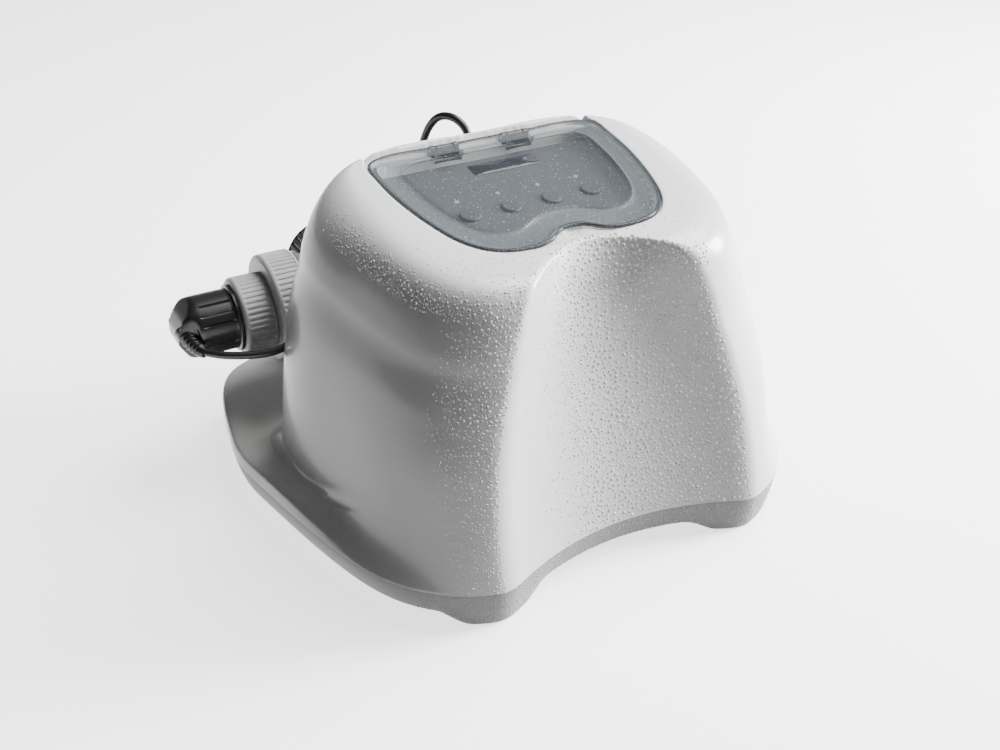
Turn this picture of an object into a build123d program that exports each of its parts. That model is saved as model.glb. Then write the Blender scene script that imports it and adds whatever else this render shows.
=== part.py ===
from build123d import *
import math
import os

# Salt chlorine generator for an above-ground pool: a white moulded cover over a grey base tray,
# a control panel under a smoky flip lid, and the electrolytic cell in a tube across the back.
# Millimetres. +Z is up, the front faces -Y. The origin is on the ground under the middle of the base.

# ---- Driving dimensions ----
WALL = 3.0                 # moulded wall of cover and tray
SEAM_Z = 29.3              # where the cover stands on the base tray
BAND_Z = 9.8               # lower edge of the base band, between the feet
FLANGE_TOP_Z = 42.0        # top of the flange round the cover
TOP_Z = 241.66             # height of the sloping top, above the origin
TOP_SLOPE = 0.1532         # rise of the top per millimetre towards the back
SHOULDER_DROP = 46.0       # depth of the rounding between the top and the walls
SCOOP_FOOT_Y = -153.0      # middle of the hollow front panel, at the seam
SCOOP_LEAN = 0.23          # how far the panel leans back per millimetre of height
SCOOP_SAG = 26.0           # depth of the hollow between its two ridges
LID_THICK = 2.6
LID_GAP = 0.8
POCKET_DEPTH = 13.5        # top plane down to the floor of the control pocket
FASCIA_THICK = 2.0
HINGE_V = 44.4             # lid hinge axis, measured up the slope of the top
HINGE_W = -3.9             # and below the top plane
HINGE_PIN_R = 1.25
RUNNING = 0.06             # radial clearance of a turning fit
BUTTON_X = (-48.0, -16.0, 16.0, 48.0)
BUTTON_V = -34.0
BUTTON_R = 7.3
DISPLAY_X, DISPLAY_V = 8.0, 20.0
CELL_Y, CELL_Z = 107.0, 117.2   # axis of the cell housing, along X
HOUSING_R, HOUSING_BORE_R = 36.0, 30.0
HOUSING_X0, HOUSING_X1 = -141.0, 118.0
RING_R, RING_X0, RING_X1 = 42.4, -154.6, -129.0
COLLAR_R, COLLAR_X0, COLLAR_X1 = 30.0, -179.5, -155.8
PLUG_R, PLUG_X0 = 23.4, -212.5
PORT_X, PORT_BORE_R, PORT_R, PORT_END_Y = 80.0, 19.0, 26.0, 162.0
NUT_R, NUT_Y0, NUT_Y1 = 33.8, 147.0, 173.0
CORD_D = 6.0
FIXING_X, FIXING_Y, FIXING_R = 120.0, 162.0, 3.3

# ---- Half outlines, front centre to rear centre, x of the right-hand side ----
# Levels of the convex body: height on the centre line, slope of the level, half outline.
BODY_LEVELS = (
    (SEAM_Z - 0.3, 0.00, ((0, -185.5), (97, -177.6), (121, -168.5), (138, -153), (153, -120),
                          (169, -60), (179.5, 5), (169, 50), (116, 62.5), (0, 64))),
    (75.0, 0.03, ((0, -177), (97, -169.5), (120, -160), (138, -143), (153.5, -112),
                  (167, -55), (175.5, 6), (164, 48), (112, 60.5), (0, 61.5))),
    (118.0, 0.07, ((0, -168), (91.5, -161), (113, -153), (134, -136.5), (150, -105),
                   (163, -50), (171, 6), (158.5, 46), (109, 58.5), (0, 59))),
    (158.0, 0.11, ((0, -158), (83, -152.5), (105, -145), (126, -129), (143.5, -97.5),
                   (157, -45), (163.5, 6), (151, 44), (104, 56.5), (0, 57))),
    (TOP_Z - SHOULDER_DROP, TOP_SLOPE, ((0, -151), (74, -145), (96, -138.5), (118, -121.5), (134, -91),
                                        (146.5, -42), (152.5, 6), (140, 40.5), (98, 54), (0, 55))),
)
TOP_OUTLINE = ((0, -120), (50, -114), (70, -105.5), (86, -91.5), (97.5, -68),
               (105, -34), (108.5, 5), (103, 36.5), (80, 49.5), (0, 51.5))
FLANGE_OUTLINE = ((0, -187.5), (97.5, -179.3), (123, -170.3), (140.5, -158.5), (159, -139), (182, -86.5),
                  (203, 10), (207.4, 44), (203, 82), (191.5, 131), (176, 157.5), (150, 171),
                  (105, 177), (0, 179))
# On the sloping top: x and distance up the slope.
LID_OUTLINE = ((0, -84.5), (9, -86), (17, -92), (27, -96.5), (45, -97.5), (59, -93.5), (69, -86.5),
               (78, -74), (85, -55), (91, -29), (94.5, 0), (95, 24), (91.5, 37), (80, 43.4),
               (48, 44.4), (0, 44.4))
RAISED_OUTLINE = ((0, -66), (18, -69), (34, -77), (48, -76), (60, -66), (68, -48), (74, -20),
                  (76, 4), (74, 20), (64, 28), (40, 30), (0, 30))
SEAT_OUTLINE = ((0, -98), (20, -98.2), (34, -98.3)) + LID_OUTLINE[4:12] + ((93.2, 38.4), (81, 45.2), (0, 46))

# Route of the cell cord, from the gland on the rear wall to the boot of the plug.
CORD_ROUTE = (
    (4, 66, 226), (4, 66, 241.9), (-1.3, 75.8, 253), (-8.9, 89.6, 253), (-14.2, 99.4, 241.9),
    (-18, 104, 226), (-24, 106.5, 206), (-33, 107, 187), (-47, 105, 172), (-66, 101, 164.5),
    (-88, 94, 162.5), (-108, 83, 160), (-123, 72.5, 152), (-132, 65, 139), (-138, 60.4, 125.5),
    (-146, 60, 115), (-156, 58.5, 109.5), (-168, 58, 107.5), (-181, 61, 107.5),
    (-193.5, 65, 108.5), (-204.8, 70.2, 109.6), (-212, 77, 110.5),
)

TOP = Plane(origin=(0, 0, TOP_Z), x_dir=(1, 0, 0), z_dir=(0, -TOP_SLOPE, 1))


# ---- Geometry helpers ----
def mirrored(half):
    """Closed list of points from a half outline."""
    return [Vector(x, y) for x, y in half] + [Vector(-x, y) for x, y in reversed(half[1:-1])]


def inset(half, distance):
    """The half outline moved inwards by a distance."""
    ring = mirrored(half)
    moved = []
    for i in range(len(half)):
        along = ring[(i + 1) % len(ring)] - ring[i - 1]
        normal = Vector(-along.Y, along.X).normalized()
        x, y = half[i][0] + distance * normal.X, half[i][1] + distance * normal.Y
        moved.append((0.0 if half[i][0] == 0 else x, y))
    return tuple(moved)


def outline_face(half, plane=Plane.XY):
    """A face with a smooth closed edge through the mirrored outline."""
    curve = Spline(*[plane.from_local_coords(point) for point in mirrored(half)], periodic=True)
    return Face(Wire(curve))


def prism(half, plane, height):
    """The outline as a straight solid, height along the plane's normal."""
    return extrude(outline_face(half, plane), amount=height, dir=plane.z_dir)


def level_wire(half, height, slope):
    """A closed smooth outline that lies on a level sloping up towards the back."""
    points = [Vector(p.X, p.Y, height + slope * p.Y) for p in mirrored(half)]
    return Wire(Spline(*points, periodic=True))


def body_loft(thickness):
    """The convex body of the cover, its walls moved in by a thickness."""
    wires = []
    for height, slope, half in wall_levels():
        drop = 1.0 if thickness and height < SEAM_Z else 0.0
        wires.append(level_wire(inset(half, thickness), height - drop, slope))
    for share in (0.13, 0.27, 0.41, 0.55, 0.69, 0.84, 1.0):
        height = TOP_Z - SHOULDER_DROP * (1 - share) ** 2 - thickness * share
        half = inset(shoulder_outline(share), thickness * (1 - share))
        wires.append(level_wire(half, height, TOP_SLOPE))
    return Solid.make_loft(wires, ruled=True)


def shoulder_outline(share):
    """Outline a share of the way over the shoulder, which starts in line with the wall and ends flat."""
    (low_height, _, low), (wall_height, _, wall) = BODY_LEVELS[-2:]
    reach = SHOULDER_DROP / (wall_height - low_height)
    half = []
    for a, b, top in zip(low, wall, TOP_OUTLINE):
        corner = [b[axis] + (b[axis] - a[axis]) * reach for axis in (0, 1)]
        half.append(tuple((1 - share) ** 2 * b[axis] + 2 * share * (1 - share) * corner[axis]
                          + share ** 2 * top[axis] for axis in (0, 1)))
    return tuple(half)


def between(a, b, c, d, t):
    """Smooth value a share t of the way from b to c, with neighbours a and d."""
    return b + 0.5 * t * (c - a + t * (2 * a - 5 * b + 4 * c - d + t * (3 * (b - c) + d - a)))


def wall_levels(steps=3):
    """The levels of the wall, with smooth levels added between the given ones."""
    count = len(BODY_LEVELS)
    levels = []
    for k in range(count - 1):
        near = [BODY_LEVELS[min(max(k + shift, 0), count - 1)] for shift in (-1, 0, 1, 2)]
        for step in range(steps):
            t = step / steps
            height = near[1][0] + (near[2][0] - near[1][0]) * t
            slope = near[1][1] + (near[2][1] - near[1][1]) * t
            half = tuple(tuple(between(*(level[2][i][axis] for level in near), t) for axis in (0, 1))
                         for i in range(len(near[1][2])))
            levels.append((height, slope, half))
    return levels + [BODY_LEVELS[-1]]


def ridge_half_width(z):
    """Half the distance between the two ridges beside the front panel."""
    return 99 - 40 * ((z - 52) / 162) ** 2


def panel_y(z):
    """Middle of the front panel: it leans back, and faster near its top."""
    return SCOOP_FOOT_Y + SCOOP_LEAN * (z - SEAM_Z) + 4 * (max(z - 190, 0) / 29) ** 2


def scoop_section(z, back):
    """Horizontal section of what is cut away in front of the hollow panel."""
    width = ridge_half_width(z)
    points = []
    for share in (-1.5, -1, -0.5, 0, 0.5, 1, 1.5):
        points.append(Vector(share * width, panel_y(z) + back - SCOOP_SAG * share ** 2, z))
    far = -270
    corners = [Vector(points[-1].X, far, z), Vector(points[0].X, far, z)]
    return Wire([Spline(*points), *Polyline(points[-1], *corners, points[0]).edges()])


def scoop(back=0.0):
    """The space in front of the hollow front panel."""
    heights = (SEAM_Z, 60, 90, 120, 150, 175, 192, 205, 215, 224, 236)
    upper = Solid.make_loft([scoop_section(z, back) for z in heights], ruled=True)
    lower = extrude(Face(scoop_section(SEAM_Z, back)), amount=SEAM_Z + 10, dir=(0, 0, -1))
    return upper + lower


def local_box(x0, x1, v0, v1, w0, w1):
    """A box in the frame of the sloping top."""
    box = Box(x1 - x0, v1 - v0, w1 - w0, align=(Align.MIN, Align.MIN, Align.MIN))
    return TOP * Pos(x0, v0, w0) * box


def local_cylinder(x, v, w0, w1, radius):
    """A cylinder square to the sloping top."""
    return TOP * Pos(x, v, w0) * Cylinder(radius, w1 - w0, align=(Align.CENTER, Align.CENTER, Align.MIN))


def plain_box(x0, x1, y0, y1, z0, z1):
    return Pos(x0, y0, z0) * Box(x1 - x0, y1 - y0, z1 - z0, align=(Align.MIN, Align.MIN, Align.MIN))


def upright(x, y, z0, z1, radius):
    return Pos(x, y, z0) * Cylinder(radius, z1 - z0, align=(Align.CENTER, Align.CENTER, Align.MIN))


def along_x(x0, x1, radius, y=CELL_Y, z=CELL_Z):
    turned = Plane(origin=(x0, y, z), z_dir=(1, 0, 0))
    return turned * Cylinder(radius, x1 - x0, align=(Align.CENTER, Align.CENTER, Align.MIN))


def along_y(x, y0, y1, radius, z=CELL_Z):
    turned = Plane(origin=(x, y0, z), z_dir=(0, 1, 0))
    return turned * Cylinder(radius, y1 - y0, align=(Align.CENTER, Align.CENTER, Align.MIN))


def ribbed_disc(plane, radius, height, ribs, depth):
    """A grip ring: a disc whose rim has straight ribs."""
    points = []
    for i in range(ribs):
        for share, reach in ((0.0, radius - depth), (0.25, radius), (0.6, radius), (0.85, radius - depth)):
            angle = 2 * math.pi * (i + share) / ribs
            points.append((reach * math.cos(angle), reach * math.sin(angle)))
    return plane * extrude(make_face(Polyline(*points, close=True)), amount=height)


def grip_nut(plane, radius, height, ribs, depth):
    """Ribbed ring between two smooth rims."""
    rim = 2.2
    low = Cylinder(radius, rim, align=(Align.CENTER, Align.CENTER, Align.MIN))
    low = chamfer(low.edges().group_by(Axis.Z)[0], 1.0)
    nut = plane * low + plane * Pos(0, 0, height) * Rot(180, 0, 0) * low
    middle = Plane(origin=plane.origin + plane.z_dir * rim, x_dir=plane.x_dir, z_dir=plane.z_dir)
    return nut + ribbed_disc(middle, radius, height - 2 * rim, ribs, depth)


def ring(outer, inner, thickness):
    """A flat ring standing on the XY plane."""
    disc = Cylinder(outer, thickness, align=(Align.CENTER, Align.CENTER, Align.MIN))
    return disc - Cylinder(inner, 4 * thickness)


def o_ring(plane, radius, section):
    return plane * Torus(radius, section)


def group(parts):
    """Separate solids that share one node."""
    return Compound(children=[part.solid() if not isinstance(part, Solid) else part for part in parts])


nodes = {}


# ---- Base tray with its four feet ----
SCREW_POSTS = ((124.2, -156.2), (178, -60), (188, 60), (60, 168),
               (-60, 168), (-188, 60), (-178, -60), (-124.2, -156.2))
BOARD_POSTS = ((-80, -98), (80, -98), (80, 18), (-80, 18))
BOARD_Z = 28.0


def foot_arches():
    """What is cut from under the band so that only the four corners reach the ground."""
    round_r = 7.5
    side = plain_box(-230, 230, -146, 118, -20, BAND_Z)
    front = plain_box(-62, 62, -230, 0, -20, BAND_Z)
    rear = plain_box(-106, 106, 0, 230, -20, BAND_Z)
    side = fillet(side.edges().filter_by(Axis.X).group_by(Axis.Z)[-1], round_r)
    front = fillet(front.edges().filter_by(Axis.Y).group_by(Axis.Z)[-1], round_r)
    rear = fillet(rear.edges().filter_by(Axis.Y).group_by(Axis.Z)[-1], round_r)
    return side, front, rear


def base_tray():
    seam_scoop = extrude(Face(scoop_section(SEAM_Z, 0)), amount=60, both=True)
    inner_scoop = extrude(Face(scoop_section(SEAM_Z, WALL)), amount=60, both=True)
    tray = prism(FLANGE_OUTLINE, Plane.XY, SEAM_Z) - seam_scoop
    hollow = prism(inset(FLANGE_OUTLINE, WALL), Plane.XY.offset(BAND_Z + WALL), SEAM_Z) - inner_scoop
    tray -= hollow
    for arch in foot_arches():
        tray -= arch
    for x, y in SCREW_POSTS:
        tray += upright(x, y, BAND_Z + 1, SEAM_Z - 0.2, 5.0)
        tray -= upright(x, y, 0, 40, 1.8)
        tray -= upright(x, y, -1, BAND_Z + 4, 3.7)
    for x, y in BOARD_POSTS:
        tray += upright(x, y, BAND_Z + 1, BOARD_Z, 4.0)
        tray -= upright(x, y, BAND_Z + 6, BOARD_Z + 1, 1.4)
    for x in (-FIXING_X, FIXING_X):
        tray += upright(x, FIXING_Y, BAND_Z + 1, SEAM_Z, 7.0)
        tray -= upright(x, FIXING_Y, -1, 60, FIXING_R)
    return tray


nodes["base_tray"] = base_tray()


# ---- Cover ----
GLAND_X, GLAND_Y = 4.0, 66.0
INLET_X, INLET_Z = 112.0, 70.0
HINGE_ZONE = (17.5, 40.5)


def cover_shell():
    bevel = 4.0
    flange = prism(FLANGE_OUTLINE, Plane.XY.offset(SEAM_Z), FLANGE_TOP_Z - bevel - SEAM_Z)
    rim_low = level_wire(FLANGE_OUTLINE, FLANGE_TOP_Z - bevel, 0)
    rim_high = level_wire(inset(FLANGE_OUTLINE, bevel), FLANGE_TOP_Z, 0)
    flange += Solid.make_loft([rim_low, rim_high], ruled=True)
    hollow_height = FLANGE_TOP_Z - bevel - WALL - SEAM_Z
    flange_hollow = prism(inset(FLANGE_OUTLINE, WALL), Plane.XY.offset(SEAM_Z - 5), hollow_height + 5)
    upper_hollow = inset(FLANGE_OUTLINE, bevel + 2)
    flange_hollow += prism(upper_hollow, Plane.XY.offset(SEAM_Z), FLANGE_TOP_Z - WALL - SEAM_Z)
    keep = plain_box(-300, 300, -300, 300, SEAM_Z, 400)
    shell = (body_loft(0) & keep) + flange
    cavity = body_loft(WALL) + flange_hollow - scoop(WALL * 1.05)
    shell = shell - scoop() - cavity
    # ledge the lid lies on, and the tub that carries the control panel
    shell += prism(inset(SEAT_OUTLINE, -2.5), TOP.offset(-8.0), 7.0)
    shell += local_box(-70, 70, 40, 50.2, -8.0, -1.0) + local_box(-80, 80, 40, 47.2, -8.0, -1.0)
    tub_floor = TOP.offset(-POCKET_DEPTH - 2.5)
    shell += prism(inset(LID_OUTLINE, 4.5), tub_floor, POCKET_DEPTH + 1.5)
    for side in (-1, 1):
        x0, x1 = sorted((side * (HINGE_ZONE[0] - 1.8), side * (HINGE_ZONE[1] + 1.8)))
        shell += local_box(x0, x1, 34, 50.2, -13.5, -1.0)
    pocket = prism(inset(LID_OUTLINE, 7.0), TOP.offset(-POCKET_DEPTH), 30)
    shell -= pocket
    shell -= prism(inset(SEAT_OUTLINE, -LID_GAP), TOP.offset(-LID_THICK - 0.4), 30)
    # the rim is open at the back, where the edge of the opening lid swings
    shell -= local_box(-92, 92, 37.0, 60, -6.2, 20)
    for side in (-1, 1):
        x0, x1 = sorted((side * HINGE_ZONE[0], side * HINGE_ZONE[1]))
        shell -= local_box(x0, x1, 35.5, 49.4, -12.0, 20)
    # finger dish in front of the lid's notch
    shell -= TOP * Pos(0, -84, 19.5) * Sphere(24)
    # openings in the tub floor for buttons, display and lights
    for x in BUTTON_X:
        shell -= local_cylinder(x, BUTTON_V, -30, 0, BUTTON_R + 0.35)
    shell -= local_box(DISPLAY_X - 17, DISPLAY_X + 17, DISPLAY_V - 9, DISPLAY_V + 9, -30, 0)
    for x in BUTTON_X:
        shell -= local_cylinder(x, LIGHT_V, -30, 0, 1.9)
    for x, v in CONTROL_POSTS:
        shell += local_cylinder(x, v, PCB_TOP, -POCKET_DEPTH - 1, 3.5)
        shell -= local_cylinder(x, v, PCB_TOP - 1, PCB_TOP + 4.5, 1.2)
    # posts that the base screws bite into
    for x, y in SCREW_POSTS:
        shell += upright(x, y, SEAM_Z, FLANGE_TOP_Z - 0.5, 4.5)
        shell -= upright(x, y, 0, FLANGE_TOP_Z - 5, 1.45)
    for x in (-FIXING_X, FIXING_X):
        shell += upright(x, FIXING_Y, SEAM_Z, FLANGE_TOP_Z - 1, 7.0)
        shell -= upright(x, FIXING_Y, 0, 60, FIXING_R)
    # cord and mains openings through the rear wall
    shell -= along_y(GLAND_X, 20, 90, 5.0, 213)
    shell -= along_y(INLET_X, 20, 90, 8.1, INLET_Z)
    for x in SADDLE_X:
        for dy in (-20, 20):
            shell -= upright(x, CELL_Y + dy, FLANGE_TOP_Z - 6, 60, 1.45)
    return shell


LIGHT_V = -14.0
PCB_TOP = -20.4
CONTROL_POSTS = ((-62, -44), (62, -44), (58, 22), (-58, 22))
SADDLE_X = (-42.0, 42.0)
SADDLE_TOP = 104.0
nodes["cover_shell"] = cover_shell()


# ---- Control panel under the lid ----
def control_fascia():
    plate = prism(inset(LID_OUTLINE, 7.3), TOP.offset(-POCKET_DEPTH), FASCIA_THICK)
    plate -= local_box(-110, 110, 33.0, 60, -30, 0)
    for x in BUTTON_X:
        plate -= local_cylinder(x, BUTTON_V, -30, 0, BUTTON_R + 0.35)
        plate -= local_cylinder(x, LIGHT_V, -30, 0, 1.6)
    plate -= local_box(DISPLAY_X - 15, DISPLAY_X + 15, DISPLAY_V - 7.5, DISPLAY_V + 7.5, -30, 0)
    return plate


def button(x):
    flange_top = -POCKET_DEPTH - 2.5 - 0.2
    cap = local_cylinder(x, BUTTON_V, flange_top - 1, -9.6, BUTTON_R)
    cap = fillet(cap.edges().sort_by(Axis.Z)[-1], 1.1)
    return cap + local_cylinder(x, BUTTON_V, flange_top - 1, flange_top, 8.9) + \
        local_cylinder(x, BUTTON_V, flange_top - 1.5, flange_top, 2.2)


fascia_top = -POCKET_DEPTH + FASCIA_THICK
nodes["control_fascia"] = control_fascia()
nodes["display_window"] = local_box(DISPLAY_X - 15, DISPLAY_X + 15, DISPLAY_V - 7.5, DISPLAY_V + 7.5,
                                    fascia_top - 1.4, fascia_top)
nodes["led_display"] = local_box(DISPLAY_X - 13, DISPLAY_X + 13, DISPLAY_V - 6.5, DISPLAY_V + 6.5,
                                 PCB_TOP, -POCKET_DEPTH - 0.2)
nodes["indicator_lights"] = group([local_cylinder(x, LIGHT_V, PCB_TOP, fascia_top + 0.3, 1.6)
                                   for x in BUTTON_X])
for name, x in zip(("power_button", "timer_button", "boost_button", "clean_button"), BUTTON_X):
    nodes[name] = button(x)


def control_board():
    board = local_box(-68, 68, -50, 34, PCB_TOP - 1.6, PCB_TOP)
    for x, v in CONTROL_POSTS:
        board -= local_cylinder(x, v, -40, 0, 1.5)
    return board


nodes["control_board"] = control_board()
nodes["button_switches"] = group([
    local_box(x - 3, x + 3, BUTTON_V - 3, BUTTON_V + 3, PCB_TOP, PCB_TOP + 1.3) for x in BUTTON_X])
nodes["control_board_screws"] = group([
    local_cylinder(x, v, PCB_TOP - 3.4, PCB_TOP - 1.6, 3.0)
    + local_cylinder(x, v, PCB_TOP - 1.7, PCB_TOP + 4, 1.2) for x, v in CONTROL_POSTS])
nodes["pocket_seal"] = (prism(inset(LID_OUTLINE, 4.3), TOP.offset(-LID_THICK - 0.4), 0.38)
                        - prism(inset(LID_OUTLINE, 6.6), TOP.offset(-LID_THICK - 2), 20)
                        - local_box(-110, 110, 34, 80, -20, 20))


# ---- Lid and hinge ----
def hinge_axis_cylinder(x0, x1, radius):
    local = Plane(origin=(x0, HINGE_V, HINGE_W), z_dir=(1, 0, 0))
    return TOP * (local * Cylinder(radius, x1 - x0, align=(Align.CENTER, Align.CENTER, Align.MIN)))


def lid():
    plate = prism(LID_OUTLINE, TOP.offset(-LID_THICK), LID_THICK)
    raised = prism(RAISED_OUTLINE, TOP.offset(-0.5), 1.9)
    hollow = prism(inset(RAISED_OUTLINE, 2.0), TOP.offset(-LID_THICK - 1), 2.4)
    plate = plate + raised - hollow
    for side in (-1, 1):
        x0, x1 = sorted((side * 17.8, side * 40.2))
        plate -= local_box(x0, x1, HINGE_V - 4.0, 60, -10, 10)
    return plate


def hinge_leaf(side):
    """Plate under the lid with the barrel that turns on the pin."""
    x0, x1 = sorted((side * 22.6, side * 35.4))
    leaf = local_box(x0, x1, 32.0, HINGE_V, -LID_THICK - 2.0, -LID_THICK)
    leaf += hinge_axis_cylinder(x0, x1, 3.1)
    return leaf - hinge_axis_cylinder(x0 - 1, x1 + 1, HINGE_PIN_R + RUNNING)


def hinge_bracket(side):
    x0, x1 = sorted((side * 18.2, side * 39.8))
    base = local_box(x0, x1, 36, 49.0, -12.0, -9.2)
    for a, b in ((x0, x0 + 3.6), (x1 - 3.6, x1)):
        base += local_box(a, b, HINGE_V - 3.4, HINGE_V + 3.4, -12.0, HINGE_W)
        base += hinge_axis_cylinder(a, b, 3.4)
    return base - hinge_axis_cylinder(x0 - 1, x1 + 1, HINGE_PIN_R)


nodes["lid"] = lid()
nodes["hinge_leaves"] = group([hinge_leaf(side) for side in (-1, 1)])
nodes["hinge_brackets"] = group([hinge_bracket(side) for side in (-1, 1)])
nodes["hinge_pins"] = group([hinge_axis_cylinder(*sorted((side * 18.2, side * 39.8)), HINGE_PIN_R)
                             for side in (-1, 1)])


# ---- Power electronics on the tray ----
def power_board():
    board = plain_box(-88, 88, -105, 25, BOARD_Z, BOARD_Z + 1.6)
    for x, y in BOARD_POSTS:
        board -= upright(x, y, 0, 60, 1.7)
    return board


BOARD_TOP = BOARD_Z + 1.6
board_top_plane = Plane.XY.offset(BOARD_TOP)
nodes["power_board"] = power_board()
nodes["transformer"] = Pos(-38, -38, BOARD_TOP) * fillet(ring(42, 15, 38).edges(), 5.0)
nodes["transformer_bolt"] = (upright(-38, -38, BOARD_TOP, BOARD_TOP + 42, 3)
                             + upright(-38, -38, BOARD_TOP + 38, BOARD_TOP + 40, 24)
                             + upright(-38, -38, BOARD_TOP + 40, BOARD_TOP + 45, 5))


def heat_sink():
    sink = plain_box(25, 75, -95, -35, BOARD_TOP, BOARD_TOP + 5)
    for i in range(8):
        x = 26.5 + i * 6.5
        sink += plain_box(x, x + 2, -95, -35, BOARD_TOP + 4, BOARD_TOP + 32)
    return sink


nodes["heat_sink"] = heat_sink()
nodes["capacitors"] = group([upright(x, -14, BOARD_TOP, BOARD_TOP + 28, 8) for x in (30, 50, 70)])
nodes["power_relay"] = plain_box(20, 48, 3, 20, BOARD_TOP, BOARD_TOP + 18)
nodes["terminal_block"] = plain_box(50, 74, 4, 18, BOARD_TOP, BOARD_TOP + 14)
nodes["power_board_screws"] = group([
    upright(x, y, BOARD_TOP, BOARD_TOP + 2.2, 3.4) + upright(x, y, BAND_Z + 7, BOARD_TOP + 1, 1.4)
    for x, y in BOARD_POSTS])
nodes["base_screws"] = group([
    upright(x, y, BAND_Z + 1.5, BAND_Z + 4, 3.3) + upright(x, y, BAND_Z + 3, FLANGE_TOP_Z - 6, 1.45)
    for x, y in SCREW_POSTS])


# ---- Cell housing across the back ----
SEAL_PLANE = Plane(origin=(-135, CELL_Y, CELL_Z), z_dir=(1, 0, 0))


def cell_housing():
    tube = along_x(HOUSING_X0, HOUSING_X1, HOUSING_R)
    tube += along_x(HOUSING_X0, RING_X1 - 2, 38.6)
    tube += along_x(RING_X1 + 1.5, RING_X1 + 5, 39.5)
    tube += along_x(HOUSING_X1 - 1, 130, 20.0)
    for x in (-PORT_X, PORT_X):
        tube += along_y(x, CELL_Y, PORT_END_Y, PORT_R)
        tube += along_y(x, 149, PORT_END_Y, 29.6)
    tube -= along_x(HOUSING_X0 - 1, HOUSING_X1 - 6, HOUSING_BORE_R)
    tube -= along_x(HOUSING_X1 - 8, 131, 14.0)
    for x in (-PORT_X, PORT_X):
        tube -= along_y(x, CELL_Y, PORT_END_Y + 1, PORT_BORE_R)
    return tube


def cell_head():
    head = along_x(-143.0, -129.0, HOUSING_BORE_R - 0.2) + along_x(-151.0, -141.0, 37.5)
    head += along_x(-167.0, -150.0, 23.7)
    head -= along_x(-168.0, -157.0, 18.0)
    head -= o_ring(SEAL_PLANE, HOUSING_BORE_R - 1.6, 1.9)
    for dz in (-8, 8):
        head -= along_x(-171, -121, 2.5, CELL_Y, CELL_Z + dz)
    return head


def cell_ring_nut():
    plane = Plane(origin=(RING_X0, CELL_Y, CELL_Z), z_dir=(1, 0, 0))
    nut = grip_nut(plane, RING_R, RING_X1 - RING_X0, 60, 0.9)
    nut -= along_x(RING_X0 + 3.3, 0, 38.9)
    return nut - along_x(-200, 0, 24.6)


def plug_collar():
    plane = Plane(origin=(COLLAR_X0, CELL_Y, CELL_Z), z_dir=(1, 0, 0))
    return grip_nut(plane, COLLAR_R, COLLAR_X1 - COLLAR_X0, 44, 0.8) - along_x(-200, 0, 24.1)


def hose_nut(x):
    plane = Plane(origin=(x, NUT_Y0, CELL_Z), z_dir=(0, 1, 0))
    nut = grip_nut(plane, NUT_R, NUT_Y1 - NUT_Y0, 40, 1.0)
    return nut - along_y(x, 0, 168.5, 30.0) - along_y(x, 160, 200, 24.0)


nodes["cell_housing"] = cell_housing()
nodes["cell_head"] = cell_head()
nodes["cell_o_ring"] = o_ring(SEAL_PLANE, HOUSING_BORE_R - 1.7, 1.7)
nodes["cell_plates"] = group([
    plain_box(-129, -24, CELL_Y - 21, CELL_Y + 21, CELL_Z + dz - 0.5, CELL_Z + dz + 0.5)
    for dz in (-18, -12, -6, 0, 6, 12, 18)])
nodes["plate_combs"] = group([
    plain_box(x, x + 6, *sorted((CELL_Y + side * 21, CELL_Y + side * 23)), CELL_Z - 18.5, CELL_Z + 18.5)
    for x in (-112, -45) for side in (-1, 1)])
nodes["cell_terminals"] = group([along_x(-163, -129, 2.5, CELL_Y, CELL_Z + dz) for dz in (-8, 8)])
nodes["cell_ring_nut"] = cell_ring_nut()
nodes["plug_collar"] = plug_collar()
nodes["hose_nut_left"] = hose_nut(-PORT_X)
nodes["hose_nut_right"] = hose_nut(PORT_X)
nodes["port_seals"] = group([along_y(x, PORT_END_Y, PORT_END_Y + 3, 28) - along_y(x, 100, 200, 20.5)
                             for x in (-PORT_X, PORT_X)])


def saddle(x):
    post = plain_box(x - 7, x + 7, CELL_Y - 30, CELL_Y + 30, FLANGE_TOP_Z, SADDLE_TOP)
    post += plain_box(x - 6, x + 6, CELL_Y - 38, CELL_Y + 38, SADDLE_TOP - 14, SADDLE_TOP)
    post -= along_x(x - 20, x + 20, HOUSING_R + 0.15)
    for side in (-1, 1):
        x0, x1 = sorted((x + side * 1.5, x + side * 8))
        post -= plain_box(x0, x1, CELL_Y - 27, CELL_Y + 27, FLANGE_TOP_Z + 4, 76)
    for dy in (-20, 20):
        post -= plain_box(x - 8, x + 8, CELL_Y + dy - 5, CELL_Y + dy + 5, FLANGE_TOP_Z + 4, 66)
        post -= upright(x, CELL_Y + dy, 0, 60, 1.7)
    return post


def strap(x):
    """Half band over the housing, clipped on the ends of the saddle."""
    band = along_x(x - 6, x + 6, HOUSING_R + 2.2) - along_x(x - 7, x + 7, HOUSING_R + 0.15)
    return band & plain_box(x - 10, x + 10, CELL_Y - 60, CELL_Y + 60, SADDLE_TOP, 200)


nodes["housing_saddles"] = group([saddle(x) for x in SADDLE_X])
nodes["housing_straps"] = group([strap(x) for x in SADDLE_X])
nodes["saddle_screws"] = group([
    upright(x, CELL_Y + dy, FLANGE_TOP_Z + 4, FLANGE_TOP_Z + 6, 3.2)
    + upright(x, CELL_Y + dy, FLANGE_TOP_Z - 5, FLANGE_TOP_Z + 5, 1.45)
    for x in SADDLE_X for dy in (-20, 20)])


# ---- Flow sensor at the closed end ----
PADDLE_X, PADDLE_Z = 99.0, CELL_Z + 8.5


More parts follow.
